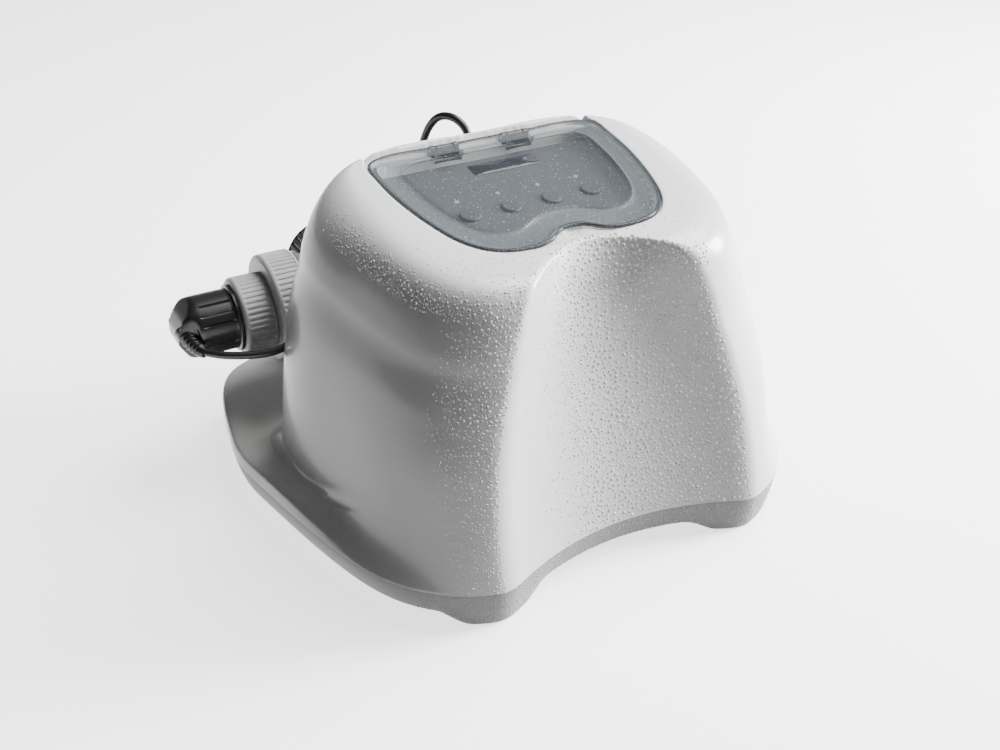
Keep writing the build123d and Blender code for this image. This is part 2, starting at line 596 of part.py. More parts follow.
def flow_sensor():
    body = along_x(104, 130, 13.8) + along_x(130, 134, 19.5) + along_x(134, 150, 16.0)
    cap = Plane(origin=(150, CELL_Y, CELL_Z), z_dir=(1, 0, 0))
    body += cap * Cone(16.0, 10.0, 5.0, align=(Align.CENTER, Align.CENTER, Align.MIN))
    for side in (-1, 1):
        y0, y1 = sorted((CELL_Y + side * 6.2, CELL_Y + side * 9.0))
        ear = plain_box(PADDLE_X - 2.5, 105, y0, y1, PADDLE_Z - 2.5, PADDLE_Z + 1.6)
        ear -= Pos(PADDLE_X, CELL_Y, PADDLE_Z) * Rot(90, 0, 0) * Cylinder(1.0, 60)
        body += ear
    return body


def flow_paddle():
    blade = plain_box(PADDLE_X - 0.8, PADDLE_X + 0.8, CELL_Y - 5.6, CELL_Y + 5.6, CELL_Z - 16, PADDLE_Z)
    blade += Pos(PADDLE_X, CELL_Y, PADDLE_Z) * Rot(90, 0, 0) * Cylinder(2.2, 11.2)
    return blade - Pos(PADDLE_X, CELL_Y, PADDLE_Z) * Rot(90, 0, 0) * Cylinder(1.0 + RUNNING, 60)


def flow_sensor_nut():
    plane = Plane(origin=(120, CELL_Y, CELL_Z), z_dir=(1, 0, 0))
    return grip_nut(plane, 26.0, 18, 36, 0.8) - along_x(100, 134.3, 20.3) - along_x(100, 150, 16.4)


nodes["flow_sensor"] = flow_sensor()
nodes["flow_paddle"] = flow_paddle()
nodes["paddle_pin"] = Pos(PADDLE_X, CELL_Y, PADDLE_Z) * Rot(90, 0, 0) * Cylinder(1.0, 18.0)
nodes["flow_sensor_nut"] = flow_sensor_nut()


# ---- Plug, boot and cell cord ----
BOOT_ROOT = Vector(-221.5, 98, 119.5)
BOOT_NOSE = 6.0            # straight nose of the boot, in line with the cord


def cell_plug():
    body = along_x(PLUG_X0, -167.0, PLUG_R)
    # wedge-shaped end: two slanting faces that meet in a blunt nose
    profile = Polyline((PLUG_X0, 23.0), (-222, 13), (-227, 4), (-227, -6), (-221, -16), (PLUG_X0, -22.0),
                       close=True)
    upright_plane = Plane(origin=(0, CELL_Y, CELL_Z), x_dir=(1, 0, 0), z_dir=(0, -1, 0))
    wedge = extrude(upright_plane * make_face(profile), amount=15, both=True)
    body += wedge & along_x(-240, PLUG_X0, PLUG_R)
    for degrees in range(-60, 61, 20):
        turn = math.radians(degrees)
        y, z = CELL_Y - PLUG_R * math.cos(turn), CELL_Z + PLUG_R * math.sin(turn)
        body -= plain_box(PLUG_X0 + 4, -183, y - 0.7, y + 0.7, z - 0.7, z + 0.7)
    return body


def plug_boot():
    """Ribbed boot that turns the cord out of the plug's nose."""
    end = Vector(*CORD_ROUTE[-1])
    along = (end - Vector(*CORD_ROUTE[-2])).normalized()
    knee = end + along * BOOT_NOSE
    plane = Plane(origin=BOOT_ROOT, z_dir=knee - BOOT_ROOT)
    length = (knee - BOOT_ROOT).length
    boot = plane * Cone(7.5, 5.4, length, align=(Align.CENTER, Align.CENTER, Align.MIN))
    for i in range(4):
        step = Pos(0, 0, 3.5 + 3.6 * i) * ring(12, 6.2 - 0.35 * i, 1.3)
        boot -= plane * step
    boot += Pos(*knee) * Sphere(5.4)
    return boot + Plane(origin=knee, z_dir=along * -1) * Cone(4.9, 4.2, BOOT_NOSE,
                                                            align=(Align.CENTER, Align.CENTER, Align.MIN))


def cord_path():
    points = [Vector(*point) for point in CORD_ROUTE]
    radii = []
    for before, here, after in zip(points, points[1:], points[2:]):
        turn = math.radians((here - before).get_angle(after - here))
        shorter = min((here - before).length, (after - here).length)
        radii.append(0.45 * shorter / math.tan(turn / 2))
    print("cord radii", [round(radius, 1) for radius in radii])
    return FilletPolyline(*points, radius=radii)


path = cord_path()
start_plane = Plane(origin=path @ 0, z_dir=path % 0)
nodes["cell_cord"] = sweep(start_plane * Circle(CORD_D / 2), path=path)
print("cord length", round(path.length, 1), "volume ratio",
      round(nodes["cell_cord"].volume / (math.pi * CORD_D ** 2 / 4 * path.length), 4))


def cord_gland():
    """Elbow on the rear wall: goes in through the wall, and turns the cord upwards."""
    x, y = GLAND_X, GLAND_Y
    body = plain_box(x - 9, x + 9, 55.8, y + 8, 203, 219)
    body = fillet(body.edges().filter_by(Axis.Z).group_by(Axis.Y)[-1], 5)
    body += along_y(x, 46, 57, 5.0, 213)
    body += Pos(x, y, 218) * Cone(6.6, 4.4, 8, align=(Align.CENTER, Align.CENTER, Align.MIN))
    return body


def gland_nut():
    return along_y(GLAND_X, 46.6, 50.6, 9.0, 213) - along_y(GLAND_X, 0, 90, 5.0, 213)


def mains_gland():
    x, z = INLET_X, INLET_Z
    gland = along_y(x, 48, 64, 8.0, z) + along_y(x, 63.2, 66.5, 12.0, z)
    dome = along_y(x, 66, 80, 10.5, z)
    gland += fillet(dome.edges().sort_by(Axis.Y)[-1], 3.5)
    # the bore is closed at its inner end, which a cord would be pushed through
    return gland - along_y(x, 54, 100, 4.2, z)


nodes["cell_plug"] = cell_plug()
nodes["plug_boot"] = (plug_boot() - nodes["cell_plug"]).solids().sort_by(SortBy.VOLUME)[-1]
nodes["cord_gland"] = cord_gland()
nodes["cord_gland_nut"] = gland_nut()
nodes["mains_gland"] = mains_gland()

os.makedirs("parts", exist_ok=True)
for name, shape in nodes.items():
    export_step(shape, f"parts/{name}.step")
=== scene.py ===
import bmesh
import bpy
import math
import numpy as np
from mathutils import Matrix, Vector


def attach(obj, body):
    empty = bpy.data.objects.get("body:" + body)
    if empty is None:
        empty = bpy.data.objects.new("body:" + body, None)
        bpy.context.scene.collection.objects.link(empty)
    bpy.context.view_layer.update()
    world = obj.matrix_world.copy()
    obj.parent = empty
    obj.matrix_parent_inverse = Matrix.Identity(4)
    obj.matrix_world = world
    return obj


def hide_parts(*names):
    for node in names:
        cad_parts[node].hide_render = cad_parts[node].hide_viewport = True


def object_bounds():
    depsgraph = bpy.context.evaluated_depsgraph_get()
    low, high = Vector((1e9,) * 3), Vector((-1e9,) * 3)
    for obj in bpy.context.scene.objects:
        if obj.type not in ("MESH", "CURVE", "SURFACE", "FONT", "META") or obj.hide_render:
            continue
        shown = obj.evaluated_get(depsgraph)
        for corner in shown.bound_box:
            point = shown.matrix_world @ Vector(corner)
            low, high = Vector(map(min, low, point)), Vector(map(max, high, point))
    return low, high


# Salt chlorine generator: the looks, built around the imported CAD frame.
# Shapes are worked out in millimetres and written in metres.

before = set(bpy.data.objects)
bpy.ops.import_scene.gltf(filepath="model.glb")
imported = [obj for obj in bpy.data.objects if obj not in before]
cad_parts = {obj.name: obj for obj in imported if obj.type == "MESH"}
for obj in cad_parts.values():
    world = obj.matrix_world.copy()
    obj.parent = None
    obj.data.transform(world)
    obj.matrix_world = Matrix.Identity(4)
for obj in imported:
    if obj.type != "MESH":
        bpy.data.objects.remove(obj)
cad_low, cad_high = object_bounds()
MM = 0.001

# ---- Driving dimensions, millimetres ----
SEAM_Z, BAND_Z, DECK_Z, MERGE_Z = 29.3, 9.8, 42.0, 78.0
TOP_Z, TOP_SLOPE, SHOULDER_DROP = 241.66, 0.1532, 46.0
WALL = 3.0
SEAT_DEPTH, POCKET_DEPTH, REAR_DROP, HINGE_POCKET = 3.0, 13.5, 6.2, 12.0
DISH_V, DISH_HEIGHT, DISH_R = -84.0, 19.5, 24.0
OUTLINE_CENTRE_Y = -10.0
STATIONS = 500
# The rim behind the lid: where its groove starts and ends, and how far to each side it runs.
GROOVE_Y0, GROOVE_Y1, GROOVE_X = 35.8, 49.4, 92.5
# Each hinge's stretch of the rear edge, to either side of the middle, and its axis up the slope.
HINGE_ZONE = (17.5, 40.5)
HINGE_V = 44.4
LID_THICK, RAISED_BY, LID_CENTRE_Y, LID_STATIONS = 2.6, 1.4, -24.0, 480
FIXING_X, FIXING_Y, FIXING_R = 120.0, 162.0, 3.3
CELL_Y, CELL_Z = 107.0, 117.2
RING_X0, RING_X1, RING_R, RING_SEAT_R = -154.6, -129.0, 42.4, 38.9
COLLAR_X0, COLLAR_X1, COLLAR_R, COLLAR_BORE_R = -179.5, -154.9, 30.0, 24.1
HEAD_BORE_R = 24.6
PLUG_R, PLUG_END, PLUG_FLANGE_R = 23.3, -212.5, 25.8
BOOT_ROOT, BOOT_NOSE = (-219.5, 99.5, 119.5), 9.0
DISPLAY_X, DISPLAY_V, FASCIA_W = 8.0, 20.0, -11.5
DROP_SPACING = 1.28

# Half outlines from the middle of the front to the middle of the rear.
BODY_LEVELS = (
    (SEAM_Z - 0.3, 0.00, ((0, -185.5), (97, -177.6), (121, -168.5), (138, -153), (153, -120),
                          (169, -60), (179.5, 5), (169, 50), (116, 62.5), (0, 64))),
    (75.0, 0.03, ((0, -177), (97, -169.5), (120, -160), (138, -143), (153.5, -112),
                  (167, -55), (175.5, 6), (164, 48), (112, 60.5), (0, 61.5))),
    (118.0, 0.07, ((0, -168), (91.5, -161), (113, -153), (134, -136.5), (150, -105),
                   (163, -50), (171, 6), (158.5, 46), (109, 58.5), (0, 59))),
    (158.0, 0.11, ((0, -158), (83, -152.5), (105, -145), (126, -129), (143.5, -97.5),
                   (157, -45), (163.5, 6), (151, 44), (104, 56.5), (0, 57))),
    (TOP_Z - SHOULDER_DROP, TOP_SLOPE, ((0, -151), (74, -145), (96, -138.5), (118, -121.5), (134, -91),
                                        (146.5, -42), (152.5, 6), (140, 40.5), (98, 54), (0, 55))),
)
TOP_OUTLINE = ((0, -120), (50, -114), (70, -105.5), (86, -91.5), (97.5, -68),
               (105, -34), (108.5, 5), (103, 36.5), (80, 49.5), (0, 51.5))
FLANGE_OUTLINE = ((0, -187.5), (97.5, -179.3), (123, -170.3), (140.5, -158.5), (159, -139), (182, -86.5),
                  (203, 10), (207.4, 44), (203, 82), (191.5, 131), (176, 157.5), (150, 171),
                  (105, 177), (0, 179))
LID_OUTLINE = ((0, -84.5), (9, -86), (17, -92), (27, -96.5), (45, -97.5), (59, -93.5), (69, -86.5),
               (78, -74), (85, -55), (91, -29), (94.5, 0), (95, 24), (91.5, 37), (80, 43.4),
               (48, 44.4), (0, 44.4))
RAISED_OUTLINE = ((0, -66), (18, -69), (34, -77), (48, -76), (60, -66), (68, -48), (74, -20),
                  (76, 4), (74, 20), (64, 28), (40, 30), (0, 30))
SEAT_OUTLINE = ((0, -98), (20, -98.2), (34, -98.3)) + LID_OUTLINE[4:12] + ((93.2, 38.4), (81, 45.2), (0, 46))

# Control points of the cell cord, from the gland on the rear wall to the boot of the plug.
CORD_ROUTE = (
    (4, 66, 226), (4, 66, 241.9), (-1.3, 75.8, 253), (-8.9, 89.6, 253), (-14.2, 99.4, 241.9),
    (-18, 104, 226), (-24, 106.5, 206), (-33, 107, 187), (-47, 105, 172), (-66, 101, 164.5),
    (-88, 94, 162.5), (-108, 83, 160), (-123, 72.5, 152), (-132, 65, 139), (-138, 60.4, 125.5),
    (-146, 60, 115), (-156, 58.5, 109.5), (-168, 58, 107.5), (-181, 61, 107.5),
    (-193.5, 65, 108.5), (-204.8, 70.2, 109.6), (-212, 77, 110.5),
)
CORD_D = 6.0


# ---- Camera ----
CAMERA_PLACE = (-0.37851, -0.66402, 0.538935)
CAMERA_TILT, CAMERA_TURN, CAMERA_LENS = 58.4, -29.2, 41.4


def make_camera():
    data = bpy.data.cameras.new("camera")
    data.lens = CAMERA_LENS
    data.sensor_width = 36.0
    data.clip_end = 50.0
    camera = bpy.data.objects.new("camera", data)
    camera.location = CAMERA_PLACE
    camera.rotation_euler = (math.radians(CAMERA_TILT), 0.0, math.radians(CAMERA_TURN))
    bpy.context.scene.collection.objects.link(camera)
    bpy.context.scene.camera = camera


make_camera()


# ---- Curves and numbers ----
def smooth(value, low, high):
    """0 below low, 1 above high, an S-curve between."""
    t = np.clip((value - low) / (high - low), 0.0, 1.0)
    return t * t * (3 - 2 * t)


def smooth_max(a, b, width):
    """The larger of a and b, rounded where they cross."""
    near = np.maximum(width - np.abs(a - b), 0.0) / width
    return np.maximum(a, b) + near * near * width / 4


def mix(a, b, share):
    """a at share 0, b at share 1."""
    return a + (b - a) * share


def closed_curve(half, steps=40):
    """Dense closed curve through the mirrored half outline, smooth in tangent and bend."""
    half = np.array(half, float)
    points = np.vstack([half, half[-2:0:-1] * (-1, 1)])
    count = len(points)
    ahead = np.roll(points, -1, 0)
    run = np.linalg.norm(ahead - points, axis=1)
    slope = (ahead - points) / run[:, None]
    matrix, right = np.zeros((count, count)), np.zeros((count, 2))
    for i in range(count):
        matrix[i, i - 1] += run[i]
        matrix[i, i] += 2 * (run[i - 1] + run[i])
        matrix[i, (i + 1) % count] += run[i - 1]
        right[i] = 3 * (run[i] * slope[i - 1] + run[i - 1] * slope[i])
    tangent = np.linalg.solve(matrix, right)
    t = np.arange(steps)[None, :, None] / steps
    a, b = points[:, None], ahead[:, None]
    ta, tb = tangent[:, None] * run[:, None, None], np.roll(tangent, -1, 0)[:, None] * run[:, None, None]
    curve = ((2 * t ** 3 - 3 * t ** 2 + 1) * a + (t ** 3 - 2 * t ** 2 + t) * ta
             + (3 * t ** 2 - 2 * t ** 3) * b + (t ** 3 - t ** 2) * tb)
    return curve.reshape(-1, 2)


def moved_in(curve, distance):
    """A dense closed curve moved inwards."""
    along = np.roll(curve, -1, 0) - np.roll(curve, 1, 0)
    along /= np.linalg.norm(along, axis=1)[:, None]
    return curve + distance * np.stack([-along[:, 1], along[:, 0]], 1)


def reach(curve, angles, centre_y=OUTLINE_CENTRE_Y):
    """Distance from the centre to a dense closed curve, at each angle."""
    x, y = curve[:, 0], curve[:, 1] - centre_y
    angle = np.unwrap(np.arctan2(y, x))
    order = np.argsort(angle)
    return np.interp(angles, angle[order], np.hypot(x, y)[order], period=2 * math.pi)


def even_angles(curve, count, centre_y=OUTLINE_CENTRE_Y):
    """Angles of points evenly spaced along a dense closed curve."""
    closed = np.vstack([curve, curve[:1]])
    travelled = np.concatenate([[0], np.cumsum(np.linalg.norm(np.diff(closed, axis=0), axis=1))])
    angle = np.unwrap(np.arctan2(closed[:, 1] - centre_y, closed[:, 0]))
    return np.interp(np.arange(count) * travelled[-1] / count, travelled, angle)


def ring_points(angles, radius, height, centre_y=OUTLINE_CENTRE_Y):
    """Points round the centre; height is a number, or a function of y."""
    x, y = radius * np.cos(angles), radius * np.sin(angles) + centre_y
    z = height(y) if callable(height) else height + 0 * y
    return np.stack([x, y, z], 1)


def on_top(depth):
    """Height of a level that lies below the sloping top by a depth."""
    return lambda y: TOP_Z + TOP_SLOPE * y + depth


def on_slope(x, v, w):
    """Points on the sloping top: x across, v up the slope, w square to it."""
    c = 1 / math.hypot(1, TOP_SLOPE)
    s = TOP_SLOPE * c
    return np.stack([x, v * c - w * s, TOP_Z + v * s + w * c], -1)


def round_cell(turn, x, radius):
    """A ring about the cell's axis."""
    return np.stack([x + 0 * turn, CELL_Y + radius * np.cos(turn), CELL_Z + radius * np.sin(turn)], 1)


def bend(start, corner, end, share):
    """A rounded turn from start to end, drawn towards the corner."""
    return (1 - share) ** 2 * start + 2 * share * (1 - share) * corner + share ** 2 * end


# ---- The hollow front panel ----
def panel_y(x, z):
    """Where the hollow front panel lies."""
    half_width = 99 - 40 * ((z - 52) / 162) ** 2
    middle = -153 + 0.23 * (z - SEAM_Z) + 4 * (np.maximum(z - 190, 0) / 29) ** 2
    return middle - 26 * (x / half_width) ** 2


def hollowed(points, back=0.0):
    """The points, pushed back to the front panel where they stand in front of it."""
    x, y, z = points.T
    width = mix(8.0, 6.5, smooth(z, 185, 222))
    pushed = smooth_max(y, panel_y(x, z) + back, width)
    return np.stack([x, np.where(y < -60, pushed, y), z], 1)


def lowered(points):
    """The points, with the rim let down behind the lid and the finger dish in front of its notch."""
    x, y, z = points.T
    rim = TOP_Z + TOP_SLOPE * y
    behind = smooth(y, GROOVE_Y0, GROOVE_Y0 + 2) * (1 - smooth(y, GROOVE_Y1 - 0.4, GROOVE_Y1))
    across = 1 - smooth(np.abs(x), GROOVE_X - 2, GROOVE_X)
    z = mix(z, np.minimum(z, rim - REAR_DROP), behind * across)
    near, far = HINGE_ZONE
    by_hinge = smooth(np.abs(x), near - 1, near + 1) * (1 - smooth(np.abs(x), far - 1, far + 1))
    z = mix(z, np.minimum(z, rim - HINGE_POCKET), behind * by_hinge)
    from_dish = np.hypot(x, y / 0.988 - DISH_V)
    dish = DISH_HEIGHT - np.sqrt(np.maximum(DISH_R ** 2 - from_dish ** 2, 0))
    return np.stack([x, y, np.where(z > rim - REAR_DROP - 1, np.minimum(z, rim + dish), z)], 1)


# ---- Meshes ----
def new_object(name, points, faces, materials, body, sharp=40.0):
    """A mesh piece from points in millimetres, riding on a body."""
    mesh = bpy.data.meshes.new(name)
    mesh.from_pydata([tuple(p) for p in np.asarray(points) * MM], [], faces)
    shell = bmesh.new()
    shell.from_mesh(mesh)
    bmesh.ops.recalc_face_normals(shell, faces=shell.faces)
    shell.to_mesh(mesh)
    shell.free()
    mesh.shade_smooth()
    mesh.set_sharp_from_angle(angle=math.radians(sharp))
    for material in materials:
        mesh.materials.append(material)
    piece = bpy.data.objects.new(name, mesh)
    bpy.context.scene.collection.objects.link(piece)
    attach(piece, body)
    return piece


def band_faces(rings, stations, closed_rings):
    """Quads between rings of equal length; closed_rings joins the last ring to the first."""
    faces = []
    for i in range(rings if closed_rings else rings - 1):
        here, there = i * stations, (i + 1) % rings * stations
        for j in range(stations):
            k = (j + 1) % stations
            faces.append((here + j, here + k, there + k, there + j))
    return faces


def ring_solid(name, rings, material, body, replaces=(), sharp=40.0, caps=True):
    """A closed piece from rings that run from one end to the other, or round a hollow if not capped."""
    stations = len(rings[0])
    faces = band_faces(len(rings), stations, not caps)
    points = np.vstack(rings)
    if caps:
        first, last = len(points), len(points) + 1
        points = np.vstack([points, rings[0].mean(0), rings[-1].mean(0)])
        end = (len(rings) - 1) * stations
        for j in range(stations):
            k = (j + 1) % stations
            faces.append((first, k, j))
            faces.append((last, end + j, end + k))
    materials = material if isinstance(material, list) else [material]
    piece = new_object(name, points, faces, materials, body, sharp)
    if replaces:
        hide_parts(*replaces)
    return piece


def block(x0, x1, v0, v1, w0, w1):
    """A cutter box in the frame of the sloping top."""
    corners = [on_slope(x, v, w) for x in (x0, x1) for v in (v0, v1) for w in (w0, w1)]
    faces = [(0, 1, 3, 2), (4, 6, 7, 5), (0, 4, 5, 1), (2, 3, 7, 6), (0, 2, 6, 4), (1, 5, 7, 3)]
    return cutter(corners, faces)


def rod(x, y, z0, z1, radius, count=32):
    """An upright round cutter."""
    turn = np.arange(count) * 2 * math.pi / count
    rings = [np.stack([x + radius * np.cos(turn), y + radius * np.sin(turn), z + 0 * turn], 1)
             for z in (z0, z1)]
    faces = band_faces(2, count, False)
    faces += [tuple(range(count - 1, -1, -1)), tuple(range(count, 2 * count))]
    return cutter(np.vstack(rings), faces)


def cutter(points, faces):
    """A closed shape that carve takes away."""
    mesh = bpy.data.meshes.new("cutter")
    mesh.from_pydata([tuple(np.asarray(p) * MM) for p in points], [], faces)
    tool = bpy.data.objects.new("cutter", mesh)
    bpy.context.scene.collection.objects.link(tool)
    return tool


def carve(piece, tools, sharp=40.0):
    """Cuts the tools out of the piece and removes them."""
    for tool in tools:
        modifier = piece.modifiers.new("cut", "BOOLEAN")
        modifier.operation, modifier.solver, modifier.object = "DIFFERENCE", "EXACT", tool
    graph = bpy.context.evaluated_depsgraph_get()
    mesh = bpy.data.meshes.new_from_object(piece.evaluated_get(graph), depsgraph=graph)
    piece.modifiers.clear()
    piece.data = mesh
    mesh.shade_smooth()
    mesh.set_sharp_from_angle(angle=math.radians(sharp))
    for tool in tools:
        bpy.data.objects.remove(tool)


# ---- Materials ----
GRAIN_HEIGHT = 0.0002


def new_material(name):
    """A material, its nodes, its shader and the coordinates of the piece that wears it."""
    material = bpy.data.materials.new(name)
    material.use_nodes = True
    tree = material.node_tree
    shader = tree.nodes["Principled BSDF"]
    coords = tree.nodes.new("ShaderNodeTexCoord")
    return material, tree, shader, coords.outputs["Object"]


def noise(tree, coords, scale, detail=4.0):
    """A noise texture; scale is in cells per metre."""
    node = tree.nodes.new("ShaderNodeTexNoise")
    node.inputs["Scale"].default_value = scale
    node.inputs["Detail"].default_value = detail
    tree.links.new(coords, node.inputs["Vector"])
    return node.outputs["Fac"]


def ramp(tree, value, stops):
    """A colour ramp from positions to colours."""
    node = tree.nodes.new("ShaderNodeValToRGB")
    while len(node.color_ramp.elements) < len(stops):
        node.color_ramp.elements.new(0.5)
    for element, (position, colour) in zip(node.color_ramp.elements, stops):
        element.position = position
        element.color = (*colour, 1.0)
    tree.links.new(value, node.inputs["Fac"])
    return node.outputs["Color"]


def spread(tree, value, low, high):
    """The middle of a noise, stretched from low to high."""
    node = tree.nodes.new("ShaderNodeMapRange")
    node.inputs["From Min"].default_value = 0.3
    node.inputs["From Max"].default_value = 0.7
    node.inputs["To Min"].default_value = low
    node.inputs["To Max"].default_value = high
    tree.links.new(value, node.inputs["Value"])
    return node.outputs["Result"]


def bump(tree, shader, height, strength, distance):
    """Fine relief from a noise; distance is in metres."""
    node = tree.nodes.new("ShaderNodeBump")
    node.inputs["Strength"].default_value = strength
    node.inputs["Distance"].default_value = distance
    tree.links.new(height, node.inputs["Height"])
    tree.links.new(node.outputs["Normal"], shader.inputs["Normal"])


def moulded(name, colour, roughness, grain, depth, shade, metallic=0.0, coat=0.0, spread_roughness=0.06):
    """Moulded or metal surface: slow colour drift, fine grain and uneven gloss."""
    material, tree, shader, coords = new_material(name)
    colour = np.array(colour)
    drift = noise(tree, coords, 14.0, 3.0)
    darker, lighter = tuple(colour * (1 - shade)), tuple(np.minimum(colour * (1 + shade), 1))
    tree.links.new(ramp(tree, drift, [(0.3, darker), (0.7, lighter)]), shader.inputs["Base Color"])
    grains = noise(tree, coords, grain, 5.0)
    tree.links.new(spread(tree, grains, roughness - spread_roughness, roughness + spread_roughness),
                   shader.inputs["Roughness"])
    bump(tree, shader, grains, depth, GRAIN_HEIGHT)
    shader.inputs["Metallic"].default_value = metallic
    shader.inputs["Coat Weight"].default_value = coat
    shader.inputs["Coat Roughness"].default_value = 0.08
    return material


def smoked(name, colour, alpha, roughness):
    """Tinted clear acrylic, with a faint mist of very small drops."""
    material, tree, shader, coords = new_material(name)
    colour = np.array(colour)
    mist = noise(tree, coords, 1100.0, 3.0)
    stops = [(0.34, tuple(colour * 0.62)), (0.5, tuple(colour)), (0.66, tuple(colour * 1.5))]
    tree.links.new(ramp(tree, mist, stops), shader.inputs["Base Color"])
    tree.links.new(spread(tree, mist, roughness * 0.7, roughness * 1.5), shader.inputs["Roughness"])
    tree.links.new(spread(tree, mist, alpha - 0.06, alpha + 0.06), shader.inputs["Alpha"])
    bump(tree, shader, mist, 0.12, GRAIN_HEIGHT)
    shader.inputs["Specular IOR Level"].default_value = 0.14
    return material


def water():
    """Small standing drops: clear, over the milky look that wet white plastic gives them."""
    material, tree, shader, coords = new_material("water")
    ripple = noise(tree, coords, 300.0, 2.0)
    tree.links.new(ramp(tree, ripple, [(0.3, (0.80, 0.81, 0.82)), (0.7, (0.92, 0.92, 0.92))]),
                   shader.inputs["Base Color"])
    tree.links.new(spread(tree, ripple, 0.04, 0.09), shader.inputs["Roughness"])
    shader.inputs["Transmission Weight"].default_value = 0.45
    shader.inputs["IOR"].default_value = 1.33
    shader.inputs["Specular IOR Level"].default_value = 0.9
    return material


# Colour, roughness, grain in cells per metre, depth of the grain, and how far the shade drifts.
WHITE = moulded("cover_white", (0.74, 0.735, 0.725), 0.33, 700.0, 0.03, 0.012, coat=0.25,
                spread_roughness=0.03)
BASE_GREY = moulded("base_grey", (0.235, 0.232, 0.234), 0.42, 1500.0, 0.12, 0.03)
NUT_GREY = moulded("nut_grey", (0.46, 0.46, 0.455), 0.42, 1300.0, 0.12, 0.03)
HOUSING_GREY = moulded("housing_grey", (0.16, 0.16, 0.16), 0.36, 1200.0, 0.10, 0.03)
# Rear hose nuts: a dark nut colour, pushed near black as painted shade for the shadow they sit in at the
# rear.
NUT_DARK_SHADED = moulded("nut_dark", (0.045, 0.045, 0.048), 0.40, 1300.0, 0.12, 0.06)
PLUG_BLACK = moulded("plug_black", (0.012, 0.012, 0.013), 0.34, 1400.0, 0.18, 0.10)
CORD_BLACK = moulded("cord_black", (0.016, 0.016, 0.017), 0.36, 1800.0, 0.20, 0.10)
SATIN_BLACK = moulded("satin_black", (0.02, 0.02, 0.022), 0.38, 1500.0, 0.15, 0.10)
RUBBER = moulded("seal_rubber", (0.02, 0.02, 0.02), 0.65, 2200.0, 0.25, 0.10)
PANEL = moulded("panel_grey", (0.135, 0.145, 0.158), 0.5, 1600.0, 0.12, 0.05)
BUTTON = moulded("button_grey", (0.115, 0.126, 0.138), 0.5, 1800.0, 0.15, 0.03)
WINDOW = moulded("display_window", (0.012, 0.006, 0.022), 0.12, 400.0, 0.02, 0.15, coat=0.5)
LIGHT_PIPE = moulded("light_pipe", (0.62, 0.68, 0.66), 0.3, 900.0, 0.05, 0.04)
BOARD = moulded("circuit_board", (0.02, 0.12, 0.045), 0.35, 500.0, 0.10, 0.25)
STEEL = moulded("zinc_steel", (0.62, 0.62, 0.60), 0.33, 1600.0, 0.12, 0.06, metallic=1.0)
TITANIUM = moulded("coated_titanium", (0.24, 0.24, 0.25), 0.55, 2400.0, 0.30, 0.12, metallic=1.0)
ALUMINIUM = moulded("extruded_aluminium", (0.76, 0.77, 0.78), 0.38, 1400.0, 0.10, 0.04, metallic=1.0)
COPPER = moulded("enamelled_winding", (0.42, 0.15, 0.05), 0.3, 800.0, 0.3, 0.2, metallic=0.6, coat=0.4)
SLEEVE = moulded("capacitor_sleeve", (0.02, 0.025, 0.08), 0.25, 700.0, 0.05, 0.1)
TERMINAL = moulded("terminal_green", (0.04, 0.22, 0.08), 0.45, 1200.0, 0.12, 0.08)
LID_GLASS = smoked("lid_smoke", (0.060, 0.072, 0.082), 0.24, 0.24)
LID_CHANNEL = smoked("lid_channel", (0.150, 0.170, 0.182), 0.46, 0.26)
LID_EDGE = smoked("lid_edge", (0.035, 0.042, 0.05), 0.88, 0.12)
WATER = water()


# ---- Cell cord, its boot and the plug ----
def cell_cord():
    data = bpy.data.curves.new("cell_flex", "CURVE")
    data.dimensions = "3D"
    data.resolution_u = 10
    data.bevel_depth = CORD_D / 2 * MM
    data.bevel_resolution = 5
    data.use_fill_caps = True
    spline = data.splines.new("NURBS")
    spline.points.add(len(CORD_ROUTE) - 1)
    for point, place in zip(spline.points, CORD_ROUTE):
        point.co = (*(value * MM for value in place), 1.0)
    spline.order_u = 3
    spline.use_endpoint_u = True
    data.materials.append(CORD_BLACK)
    flex = bpy.data.objects.new("cell_flex", data)
    bpy.context.scene.collection.objects.link(flex)
    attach(flex, "root")
    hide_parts("cell_cord")
    return flex


def tube(name, path, radii, material, count=28):
    """A closed tube whose radius changes along a path of points."""
    path = np.asarray(path, float)
    along = np.gradient(path, axis=0)
    along /= np.linalg.norm(along, axis=1)[:, None]
    side = np.cross(along, (0, 0, 1.0))
    side /= np.linalg.norm(side, axis=1)[:, None]
    up = np.cross(side, along)
    turn = np.arange(count) * 2 * math.pi / count
    rings = [p + r * (np.cos(turn)[:, None] * s + np.sin(turn)[:, None] * u)
             for p, r, s, u in zip(path, radii, side, up)]
    return ring_solid(name, rings, material, "root")


def plug_boot():
    """Ribbed boot that turns the cord out of the plug's nose."""
    root, end = np.array(BOOT_ROOT), np.array(CORD_ROUTE[-1], float)
    ahead = end - np.array(CORD_ROUTE[-2], float)
    knee = end + ahead / np.linalg.norm(ahead) * BOOT_NOSE
    share = np.linspace(0, 1, 60)[:, None]
    path = bend(root, knee, end, share)
    t = share[:, 0]
    radii = mix(8.2, 4.3, t ** 0.8)
    ribs = 0.5 - 0.5 * np.cos(2 * math.pi * 5 * np.clip((t - 0.12) / 0.62, 0, 1))
    radii -= 0.9 * (1 - ribs) * (t > 0.12) * (t < 0.74)
    radii[-1] = 3.4
    boot = tube("ribbed_boot", path, radii, PLUG_BLACK)
    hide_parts("plug_boot")
    return boot


